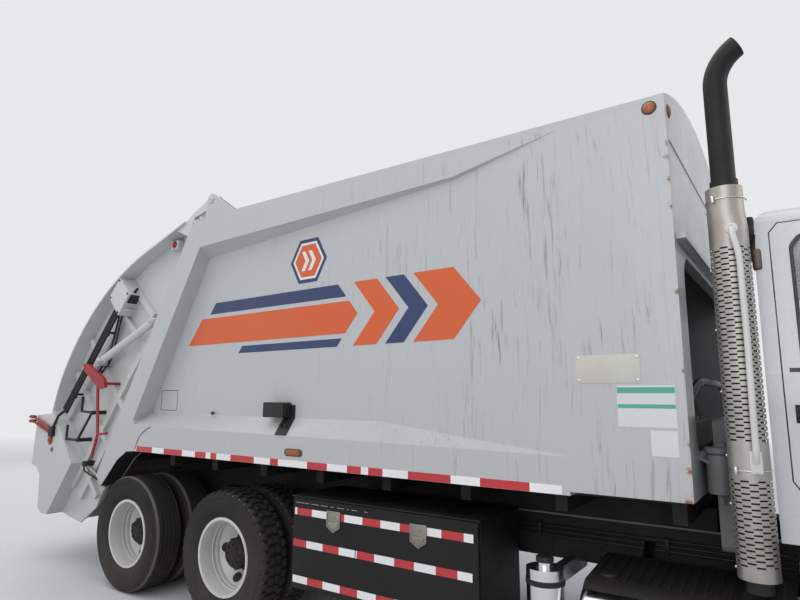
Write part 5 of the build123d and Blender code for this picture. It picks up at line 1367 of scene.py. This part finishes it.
@dataclass
class TailgateTrim:
    """Lamps, pins, the turnbuckle latches, grips, lines and tape of the tailgate."""

    panel: float = -1.22
    sheet: float = -1.055
    rear_lamps: tuple[tuple[str, float, str], ...] = (
        ("stop", 1.43, "red lens"), ("turn", 1.3, "amber lens"), ("reverse", 1.17, "clear lens"))
    levers: tuple[Pair, ...] = ((1.4, 1.52), (1.35, 1.472))
    latch_low: Pair = (-0.585, 0.885)
    latch_high: Pair = (-0.99, 1.056)
    valve_corner: Point = (-0.28, 0, 2.79)
    valve_face: Point = (-0.18, 0, -0.21)
    valve_normal: Point = (0.76, 0, -0.65)
    valve_bolts: tuple[Pair, ...] = ((-0.48, 2.945), (-0.31, 2.79), (-0.63, 2.78), (-0.47, 2.61))
    steel_lines: tuple[tuple[Pair, ...], ...] = (((-0.56, 2.66), (-0.69, 2.177), (-0.882, 1.996)),
                                                 ((-0.6, 2.7), (-0.75, 2.2), (-0.96, 2.0)))

    def build(self) -> None:
        """Makes all of it."""
        self.lamps()
        self.sill()
        self.pins()
        self.latches()
        self.grips()
        self.valve()

    def rear_x(self, up: float) -> float:
        """How far back the lower panels' rear edge lies at a height."""
        return -1.975 - 0.03 * (1.54 - up) / 0.54

    def lamps(self) -> None:
        """Lamps on the sides, at the rear and under the roof."""
        Lamp("tail_side_red", "tailgate", (-1.625, self.panel, 1.283), (0.05, 0.05), Along.Y, -1,
             "red lens").build()
        Lamp("tail_side_clear", "tailgate", (-1.565, self.panel, 1.178), (0.018, 0.018), Along.Y, -1,
             "clear lens").build()
        for name, up, lens in self.rear_lamps:
            Lamp("rear_" + name, "tailgate", (self.rear_x(up), -1.128, up), (0.05, 0.05), Along.X, -1,
                 lens).build()
        bracket = block(at(0.245, -1.127, 3.185), at(0.36, self.sheet + 0.002, 3.275), 0.004)
        both_sides(bracket, "tail_top_bracket", "tailgate", "tailgate white", "white_paint")
        Lamp("tail_top_red", "tailgate", (0.303, -1.127, 3.232), (0.03, 0.03), Along.Y, -1,
             "red lens").build()

    def sill(self) -> None:
        """The tape across the sill, and the empty plate holder under it."""
        for letter, finish, slot, start in (("r", "tape red", "prop_red", 0),
                                            ("w", "tape white", "white_paint", 1)):
            strips = [block(at(-2.0012, -0.98 + 0.14 * i, 1.012), at(-2.0, -0.84 + 0.14 * i, 1.06), 0.0)
                      for i in range(start, 14, 2)]
            fit(joined(strips), "sill_tape_" + letter, "tailgate", finish, slot)
        holder = block(at(-2.004, 0.22, 0.985), at(-1.999, 0.56, 1.0), 0.002)
        fit(holder, "rear_plate_holder", "tailgate", "fitting black", "black_steel")

    def pins(self) -> None:
        """Caps and keeper bolts on the hinge pins and the lift cylinders' pins."""
        for name, body, x, z, y, radius in (("hinge_pin", "chassis", 0.97, 3.54, -1.224, 0.034),
                                            ("lift_pin_low", "chassis", 0.11, 2.475, -1.21, 0.03),
                                            ("lift_pin_high", "lift_rods", -0.8, 2.115, -1.21, 0.03)):
            cap = [drum(at(x, y, z), radius, 0.008, Along.Y, 28, 0.002),
                   drum(at(x, y - 0.008, z), 0.011, 0.012, Along.Y, 6, 0.001)]
            both_sides(joined(cap), name, body, "bright steel", "worn_steel")

    def on_latch(self, share: float, out: float = -0.075) -> Vector:
        """A place along the turnbuckle's line, stood off from the side's sheet."""
        low, high = self.latch_low, self.latch_high
        return at(low[0] + (high[0] - low[0]) * share, self.sheet + out, low[1] + (high[1] - low[1]) * share)

    def latches(self) -> None:
        """The threaded turnbuckle at each lower front corner, with its eye pins and its keeper."""
        on = self.on_latch
        parts = [tube([on(0.0), on(1.0)], 0.012, 0.01, 4), tube([on(0.3), on(0.72)], 0.024, 0.01, 4)]
        for share in (0.0, 1.0):
            parts.append(drum(on(share), 0.03, 0.03, Along.Y, 24, 0.004))
            parts.append(drum(on(share, -0.0375), 0.016, 0.078, Along.Y, 20, 0.002))
        half_handle = Vector((0, 0, 0.045))
        parts.append(bar(on(0.5) - half_handle, on(0.5) + half_handle, 0.012, 0.012, 0.002))
        both_sides(joined(parts), "turnbuckle", "tailgate", "worn stainless", "worn_steel")
        chain = [on(1.0) + Vector((0, -0.02, 0.03)), on(1.0) + Vector((0.03, -0.035, -0.06)),
                 on(0.25) + Vector((0, -0.03, 0.0))]
        low, high = on(1.0) + Vector((-0.03, -0.03, -0.02)), on(1.0) + Vector((0.04, 0.075, 0.03))
        keeper = [tube(chain, 0.009, 0.08, 4), block(low, high, 0.006)]
        both_sides(joined(keeper), "turnbuckle_keeper", "tailgate", "fitting black", "black_steel")

    def grips(self) -> None:
        """Red sleeves and knobs on the two control levers."""
        parts = []
        for low, high in self.levers:
            sleeve = [at(-1.6, -1.242, low + (high - low) * 0.045), at(-2.02, -1.242, high)]
            parts.append(tube(sleeve, 0.0142, 0.02, 4))
            parts.append(drum(at(-2.047, -1.242, high), 0.0195, 0.1, Along.X, 20, 0.008))
        fit(joined(parts), "lever_grips", "tailgate", "prop red", "prop_red")

    def valve(self) -> None:
        """The valve box's face, with a black sheet as painted shade for its open inside, its port, the shelf
        under it, its bolts, the steel lines, and a black triangle under the lift cylinder that is partly its
        bracket and partly painted shadow.
        """
        corner, run = Vector(self.valve_corner), Vector(self.valve_face)
        out = Vector(self.valve_normal) * 0.0015
        # A thin black sheet over the box's open face, painted shade for its shaded inside.
        mouth = [(0.04, -1.195), (0.42, -1.195), (0.42, -1.09), (0.04, -1.09)]
        rim = [at(*(corner + run * share + out + Vector((0, y, 0)))) for share, y in mouth]
        port = tube([at(-0.31, -1.15, 2.805), at(-0.25, -1.15, 2.845)], 0.014, 0.01, 4)
        fit(joined([plate(rim, out, 0.0), port]), "valve_opening", "tailgate", "fitting black", "black_steel")
        shelf = block(at(-0.43, -1.2, 2.625), at(-0.33, -1.09, 2.633), 0.002)
        fit(shelf, "valve_shelf", "tailgate", "tailgate white", "white_paint")
        parts = [drum(at(x, self.panel - 0.001, z), 0.011, 0.01, Along.Y, 6, 0.001)
                 for x, z in self.valve_bolts]
        parts += [tube(on_side(line, -1.108), 0.009, 0.06, 4) for line in self.steel_lines]
        # A black triangle under the lift cylinder's lower end: partly its mounting bracket, partly painted
        # shadow under the cylinder.
        bracket_and_shadow = ((-0.7, 2.16), (-0.83, 2.16), (-0.76, 2.07))
        parts.append(plate(on_side(bracket_and_shadow, -1.1), (0, -0.016, 0), 0.002))
        fit(joined(parts), "tailgate_lines", "tailgate", "fitting black", "black_steel")


# Cab and front


@dataclass
class CabTrim:
    """Rubbers, handles, mirrors, wipers, lamps, grille surround and bumper fittings."""

    belt: float = 1.88
    roof: float = 2.74
    half: float = 1.06
    drawn_in: float = 0.095
    window: tuple[Pair, ...] = ((5.286, 1.93), (5.286, 2.52), (5.326, 2.57), (5.83, 2.57), (6.055, 1.99),
                                (6.04, 1.93))
    screen_foot: Pair = (6.29, 1.93)
    screen_slope: float = 0.36 / 0.81
    screen_normal: Pair = (0.914, 0.406)
    screen: tuple[Pair, ...] = ((-0.83, 1.96), (0.83, 1.96), (0.77, 2.61), (-0.77, 2.61), (-0.83, 1.96))
    rear_window: tuple[Pair, ...] = ((-0.6, 1.95), (0.6, 1.95), (0.56, 2.45), (-0.56, 2.45), (-0.6, 1.95))
    mirror_post: Pair = (6.03, -1.32)
    mirror_ends: Pair = (1.87, 2.52)
    mirror_panes: tuple[Pair, ...] = ((2.12, 2.436), (1.945, 2.1))
    wiper_pivots: Pair = (-0.62, 0.12)
    roof_lamps: tuple[float, ...] = (-0.66, -0.3, 0.0, 0.3, 0.66)
    bulbs: Pair = (-0.835, -0.955)
    bulb_up: float = 1.043
    mouth: tuple[Pair, ...] = ((-0.43, 0.96), (0.43, 0.96), (0.4, 1.43), (-0.4, 1.43), (-0.43, 0.96))
    louvres: tuple[float, ...] = (6.62, 6.665, 6.71, 6.755, 6.8, 6.845)
    fog_lamp: Point = (7.998, -0.78, 0.66)
    bumper_bolts: tuple[float, ...] = (-0.52, -0.4, 0.4, 0.52)
    hooks: Pair = (-0.46, 0.46)
    hook_line: tuple[Point, ...] = ((7.9, -0.04, 0.5), (7.975, -0.04, 0.462), (7.975, 0.04, 0.462),
                                    (7.9, 0.04, 0.5))

    def build(self) -> None:
        """Makes all of it."""
        self.rubbers()
        self.doors()
        self.mirrors()
        self.wipers()
        self.lamps()
        self.hood()
        self.bumper()
        self.corner()

    def side_y(self, up: float) -> float:
        """How far out the right side of the cab lies at a height."""
        return -self.half + self.drawn_in * max(0.0, up - self.belt) / (self.roof - self.belt)

    def on_screen(self, up: float, across: float, off: float = 0.0) -> Vector:
        """A place on the windscreen, stood off from it along its normal."""
        ahead = self.screen_foot[0] - (up - self.screen_foot[1]) * self.screen_slope
        return at(ahead + off * self.screen_normal[0], across, up + off * self.screen_normal[1])

    def on_hood(self, along: float, up: float) -> Vector:
        """A place just under the right side of the hood's skin."""
        return at(along, skin_y("hood", along, up) + 0.002, up)

    def on_doors(self, piece: Object, name: str, finish: str, slot: str = "black_steel") -> None:
        """Fits a right-hand piece and its mirror image to the two doors."""
        both_sides(piece, name, "door_right", finish, slot, "door_left")

    def rubbers(self) -> None:
        """Rubber round each window."""
        loop = [at(x, self.side_y(z) - 0.001, z) for x, z in self.window + self.window[:1]]
        self.on_doors(tube(loop, 0.0085, 0.02, 3), "door_window_rubber", "seal rubber")
        loops = [tube([self.on_screen(z, y) for y, z in self.screen], 0.011, 0.05, 3),
                 tube([at(5.13, y, z) for y, z in self.rear_window], 0.01, 0.05, 3)]
        fit(joined(loops), "screen_rubbers", "chassis", "seal rubber", "black_steel")

    def doors(self) -> None:
        """Black handles in their cups, locks, and the rub strip under the window."""
        parts = [block(at(5.244, -1.0925, 1.688), at(5.388, -1.058, 1.727), 0.006),
                 block(at(5.236, -1.0625, 1.655), at(5.4, -1.0585, 1.74), 0.01),
                 drum(at(5.416, -1.063, 1.707), 0.011, 0.008, Along.Y, 20, 0.001)]
        self.on_doors(joined(parts), "door_handle_cover", "fitting black")
        strip = block(at(5.23, -1.063, 1.893), at(6.04, -1.0565, 1.912), 0.002)
        self.on_doors(strip, "door_window_strip", "seal rubber")

    def mirrors(self) -> None:
        """Black heads and arms, and two silvered panes in each."""
        (x, y), (low, high) = self.mirror_post, self.mirror_ends
        head = block(at(5.987, -1.433, 1.927), at(6.063, -1.227, 2.453), 0.022, 4)
        lines = ((at(6.06, -1.04, low - 0.02), at(x, y, low + 0.01)),
                 (at(x, y, low - 0.001), at(x, y, high + 0.001)),
                 (at(5.93, -0.985, high - 0.06), at(x, y, high - 0.01)))
        arms = [tube(line, 0.0155, 0.01, 4) for line in lines]
        self.on_doors(joined([head] + arms), "mirror_shell", "fitting black")
        panes = [block(at(5.9845, -1.415, start), at(5.988, -1.245, end), 0.0015)
                 for start, end in self.mirror_panes]
        self.on_doors(joined(panes), "mirror_panes", "chrome rod", "cylinder_chrome")

    def wipers(self) -> None:
        """Two wipers parked on the screen."""
        on, parts = self.on_screen, []
        for y in self.wiper_pivots:
            arm = [on(1.925, y, 0.012), on(1.95, y, 0.03), on(2.12, y + 0.34, 0.022)]
            parts.append(tube(arm, 0.007, 0.03, 3))
            parts.append(tube([on(2.0, y + 0.1, 0.006), on(2.25, y + 0.56, 0.006)], 0.008, 0.01, 3))
            parts.append(dome(on(1.925, y, 0.01), (0.022, 0.022, 0.018)))
        fit(joined(parts), "wipers", "chassis", "fitting black", "black_steel")

    def lamps(self) -> None:
        """Roof markers, headlamps and the fenders' turn lamps."""
        bases = [dome(at(5.8, y, 2.739), (0.062, 0.034, 0.01)) for y in self.roof_lamps]
        fit(joined(bases), "roof_lamp_bases", "chassis", "seal rubber", "black_steel")
        lenses = [dome(at(5.805, y, 2.743), (0.05, 0.026, 0.026)) for y in self.roof_lamps]
        fit(joined(lenses), "roof_lamps", "chassis", "amber lens", "glass")
        parts = [block(at(7.7805, -1.04, 0.965), at(7.784, -0.765, 1.12), 0.001)]
        ring = [(0.05, 0.0), (0.058, 0.0), (0.06, 0.008), (0.052, 0.006)]
        for y in self.bulbs:
            parts.append(turned(ring, at(7.784, y, self.bulb_up), Along.X, 40))
            parts.append(dome(at(7.785, y, self.bulb_up), (0.006, 0.022, 0.022)))
        both_sides(joined(parts), "headlamp_reflector", "hood", "chrome rod", "cylinder_chrome")
        lens = block(at(7.788, -1.041, 0.964), at(7.797, -0.764, 1.121), 0.004)
        both_sides(lens, "headlamp_lens", "hood", "clear glass", "glass")
        turn = block(at(7.7845, -1.038, 0.985), at(7.7875, -1.0, 1.1), 0.001)
        both_sides(turn, "headlamp_turn", "hood", "amber lens", "glass")
        Lamp("fender_turn", "hood", (7.42, -1.215, 1.16), (0.055, 0.024), Along.Y, -1, "amber lens").build()

    def hood(self) -> None:
        """The grille's surround, and the hood's louvres and latches."""
        surround = tube([at(7.848, y, z) for y, z in self.mouth], 0.014, 0.03, 4)
        fit(surround, "grille_surround", "hood", "chrome rod", "cylinder_chrome")
        vents = [bar(self.on_hood(x, 1.36), self.on_hood(x + 0.03, 1.58), 0.014, 0.012, 0.003)
                 for x in self.louvres]
        both_sides(joined(vents), "hood_louvres", "hood", "fitting black", "black_steel")
        y = skin_y("hood", 6.43, 1.33)
        latch = [block(at(6.4, y - 0.012, 1.26), at(6.44, y + 0.004, 1.4), 0.005),
                 drum(at(6.42, y - 0.014, 1.385), 0.016, 0.014, Along.Y, 20, 0.002)]
        both_sides(joined(latch), "hood_latch", "hood", "seal rubber", "black_steel")

    def bumper(self) -> None:
        """The bumper's fog lamps, hooks, bolts and blank plate."""
        ring = turned([(0.052, 0.0), (0.066, 0.0), (0.066, 0.01), (0.056, 0.012)], at(*self.fog_lamp),
                      Along.X, 40)
        both_sides(ring, "fog_lamp_ring", "chassis", "chrome rod", "cylinder_chrome")
        lens = dome(at(*self.fog_lamp), (0.012, 0.053, 0.053))
        both_sides(lens, "fog_lamp", "chassis", "clear lens", "glass")
        parts = [block(at(7.999, -0.17, 0.585), at(8.003, 0.17, 0.735), 0.002)]
        parts += [drum(at(8.001, y, z), 0.013, 0.008, Along.X, 6, 0.002) for y in self.bumper_bolts
                  for z in (0.57, 0.75)]
        parts += [tube([at(x, y + across, z) for x, across, z in self.hook_line], 0.012, 0.03, 4)
                  for y in self.hooks]
        fit(joined(parts), "bumper_fittings", "chassis", "fitting black", "black_steel")
        blank = block(at(8.0025, -0.15, 0.595), at(8.0045, 0.15, 0.725), 0.001)
        fit(blank, "front_plate_blank", "chassis", "label white", "white_paint")

    def corner(self) -> None:
        """The bracket at each of the cab's rear corners."""
        parts = [block(at(5.1, -0.985, 2.56), at(5.14, -0.94, 2.7), 0.012),
                 drum(at(5.112, -0.985, 2.62), 0.028, 0.05, Along.Y, 20, 0.006),
                 bar(at(5.11, -1.0, 2.46), at(5.135, -0.965, 2.6), 0.03, 0.03, 0.006)]
        both_sides(joined(parts), "cab_corner", "chassis", "fitting black", "black_steel")
        base = block(at(5.118, -1.018, 2.41), at(5.16, -0.955, 2.52), 0.014, 3)
        both_sides(base, "cab_corner_base", "chassis", "worn steel", "black_steel")


@dataclass
class BulkheadTrim:
    """What shows in and around the load body's front opening and along the frame."""

    lip: tuple[Pair, ...] = ((-0.01, 1.482), (-0.01, 1.462), (0.05, 1.436), (0.052, 1.45))
    arch: tuple[Pair, ...] = ((-1.01, 1.72), (-0.55, 1.87), (0.55, 1.87), (1.01, 1.72))
    seam_up: float = 3.13
    rail_ends: Pair = (2.0, 5.4)
    line_heights: Point = (0.86, 0.89, 0.92)
    clips: tuple[float, ...] = (2.1, 2.9, 3.7, 4.5, 5.3)
    filter_place: Pair = (4.89, -0.955)

    def build(self) -> None:
        """Makes all of it."""
        sill = plate([at(FRONT_WALL + x, -1.0, z) for x, z in self.lip], (0, 2.0, 0), 0.002)
        fit(sill, "bulkhead_sill", "chassis", "reservoir grey", "reservoir_grey")
        self.service_lines()
        self.rails()
        self.oil_filter()
        seam = block(at(FRONT_WALL - 0.002, -1.16, self.seam_up),
                     at(FRONT_WALL + 0.006, 1.16, self.seam_up + 0.012), 0.002)
        fit(seam, "front_wall_seams", "chassis", "body white", "white_paint")

    def service_lines(self) -> None:
        """The hose over the opening, and the lines along the frame in their clips."""
        parts = [tube([at(4.76, y, z) for y, z in self.arch], 0.022, 0.3, 5)]
        start, end = self.rail_ends
        for side, _ in SIDES:
            parts += [tube([at(start, side * 0.447, z), at(end, side * 0.447, z)], 0.009, 0.01, 3)
                      for z in self.line_heights]
            parts += [block(at(x, -0.46 * side - 0.008, 0.845), at(x + 0.025, -0.432 * side, 0.935), 0.002)
                      for x in self.clips]
        fit(joined(parts), "service_lines", "chassis", "fitting black", "black_steel")

    def rails(self) -> None:
        """Bolts along the frame rails, and the grey strips on their top edges."""
        bolts = [drum(at(-0.7 + 0.32 * i, side * 0.434, z), 0.012, 0.012, Along.Y, 6, 0.0015)
                 for side, _ in SIDES for i in range(26) for z in (0.76, 0.81)]
        fit(joined(bolts), "rail_bolts", "chassis", "chassis black", "black_steel")
        start, end = self.rail_ends
        strips = [block(at(start, side * 0.4325, 0.991), at(end, side * 0.426, 1.003), 0.0015)
                  for side, _ in SIDES]
        fit(joined(strips), "rail_edge_strips", "chassis", "reservoir grey", "black_steel")

    def oil_filter(self) -> None:
        """The grey canister between cab and body, with its cap, drain and bracket."""
        x, y = self.filter_place
        parts = [drum(at(x, y, 1.39), 0.062, 0.2, Along.Z, 36, 0.012),
                 drum(at(x, y, 1.505), 0.068, 0.03, Along.Z, 36, 0.005),
                 drum(at(x, y, 1.268), 0.02, 0.05, Along.Z, 6, 0.003),
                 block(at(4.865, -0.905, 1.47), at(4.915, -0.878, 1.54), 0.004)]
        fit(joined(parts), "oil_filter", "chassis", "reservoir grey", "reservoir_grey")


# Studio


@dataclass
class Studio:
    """The floor, the soft lamps and the camera at the photograph's angle."""

    eye: Point = (5.298, -4.384, 1.765)
    turn: float = math.radians(35.01)
    lift: float = math.radians(9.53)
    roll: float = math.radians(0.33)
    lens: float = 26.04
    floor_size: float = 120.0
    floor_grey: Colour = (0.62, 0.62, 0.62)
    fade: Pair = (7.0, 26.0)
    backdrop: Colour = (0.8, 0.81, 0.82)
    sky: Colour = (0.86, 0.9, 1.0)
    sky_strength: float = 0.55

    def build(self) -> None:
        """Makes the whole studio."""
        self.camera()
        self.floor()
        self.lamps()
        self.world()
        bpy.context.scene.view_settings.view_transform = "Standard"

    def camera(self) -> None:
        """Stands the camera off the right side, beside the cab, looking back and a little up."""
        looks = Vector((-math.sin(self.turn) * math.cos(self.lift), math.cos(self.turn) * math.cos(self.lift),
                        math.sin(self.lift)))
        right = Vector((math.cos(self.turn), math.sin(self.turn), 0.0))
        upward = right.cross(looks)
        rolled = math.cos(self.roll) * right + math.sin(self.roll) * upward
        upward = math.cos(self.roll) * upward - math.sin(self.roll) * right
        data = bpy.data.cameras.new("photograph")
        data.lens = self.lens
        data.sensor_fit = "HORIZONTAL"
        data.clip_end = 300.0
        camera = bpy.data.objects.new("photograph", data)
        bpy.context.scene.collection.objects.link(camera)
        axes = Matrix((rolled, upward, -looks)).transposed().to_4x4()
        camera.matrix_world = Matrix.Translation(at(*self.eye)) @ axes
        bpy.context.scene.camera = camera

    def floor(self) -> None:
        """Lays a plain pale floor."""
        bpy.ops.mesh.primitive_plane_add(size=self.floor_size, location=(0, 0, 0))
        floor = settle(bpy.context.object)
        floor.name = "studio_floor"
        made = bpy.data.materials.new("studio floor")
        made.use_nodes = True
        shader = made.node_tree.nodes["Principled BSDF"]
        shader.inputs["Base Color"].default_value = (*self.floor_grey, 1.0)
        shader.inputs["Roughness"].default_value = 0.9
        graph = Graph(made.node_tree)
        where = graph.add("TexCoord").outputs["Object"]
        reach = graph.add("VectorMath", operation="LENGTH", i0=where).outputs["Value"]
        far = graph.add("Emission", Color=(*self.backdrop, 1.0), Strength=1.0)
        both = graph.add("MixShader", i0=graph.between(reach, *self.fade), i1=shader.outputs[0],
                         i2=far.outputs[0])
        made.node_tree.links.new(both.outputs[0], made.node_tree.nodes["Material Output"].inputs["Surface"])
        floor.data.materials.append(made)

    def lamps(self) -> None:
        """Hangs a broad soft lamp overhead, and weaker ones to either side."""
        # name, place, looks at, size, watts
        table = (
            ("sky", (1.0, -3.0, 12.0), (3.0, 0.0, 1.0), 14.0, 900.0),
            ("right", (6.0, -13.0, 6.0), (3.0, 0.0, 1.5), 9.0, 420.0),
            ("front", (16.0, 3.0, 7.0), (5.0, 0.0, 1.5), 8.0, 260.0),
            ("rear", (-9.0, 5.0, 6.0), (0.0, 0.0, 1.5), 8.0, 240.0),
        )
        for name, place, target, size, watts in table:
            data = bpy.data.lights.new(name, "AREA")
            data.size = size
            data.energy = watts
            lamp = bpy.data.objects.new(name, data)
            bpy.context.scene.collection.objects.link(lamp)
            lamp.location = at(*place)
            lamp.rotation_euler = (at(*target) - at(*place)).to_track_quat("-Z", "Y").to_euler()

    def world(self) -> None:
        """Shows a pale backdrop to the eye, to metal and to glass, and lights the truck softly."""
        world = bpy.data.worlds.new("soft sky")
        bpy.context.scene.world = world
        world.use_nodes = True
        graph = Graph(world.node_tree)
        world.node_tree.nodes.clear()
        path = graph.add("LightPath")
        seen = graph.sum("MAXIMUM", path.outputs["Is Camera Ray"],
                         graph.sum("MAXIMUM", path.outputs["Is Glossy Ray"],
                                   path.outputs["Is Transmission Ray"]))
        light = graph.add("Background", Color=(*self.sky, 1.0), Strength=self.sky_strength)
        shown = graph.add("Background", Color=(*self.backdrop, 1.0), Strength=1.0)
        both = graph.add("MixShader", i0=seen, i1=light.outputs[0], i2=shown.outputs[0])
        leave = graph.add("OutputWorld")
        world.node_tree.links.new(both.outputs[0], leave.inputs["Surface"])


def main() -> None:
    """Builds the truck's finishes and fine pieces, and reports each."""
    logging.basicConfig(level=logging.INFO, format="%(message)s")
    bpy.ops.object.select_all(action="DESELECT")
    Studio().build()
    dress_nodes()
    for assembly in (WheelFleet(), BodyTrim(), LowerTrim(), HeatShield(), TailgateTrim(), CabTrim(),
                     BulkheadTrim()):
        assembly.build()


if __name__ == "__main__":
    main()
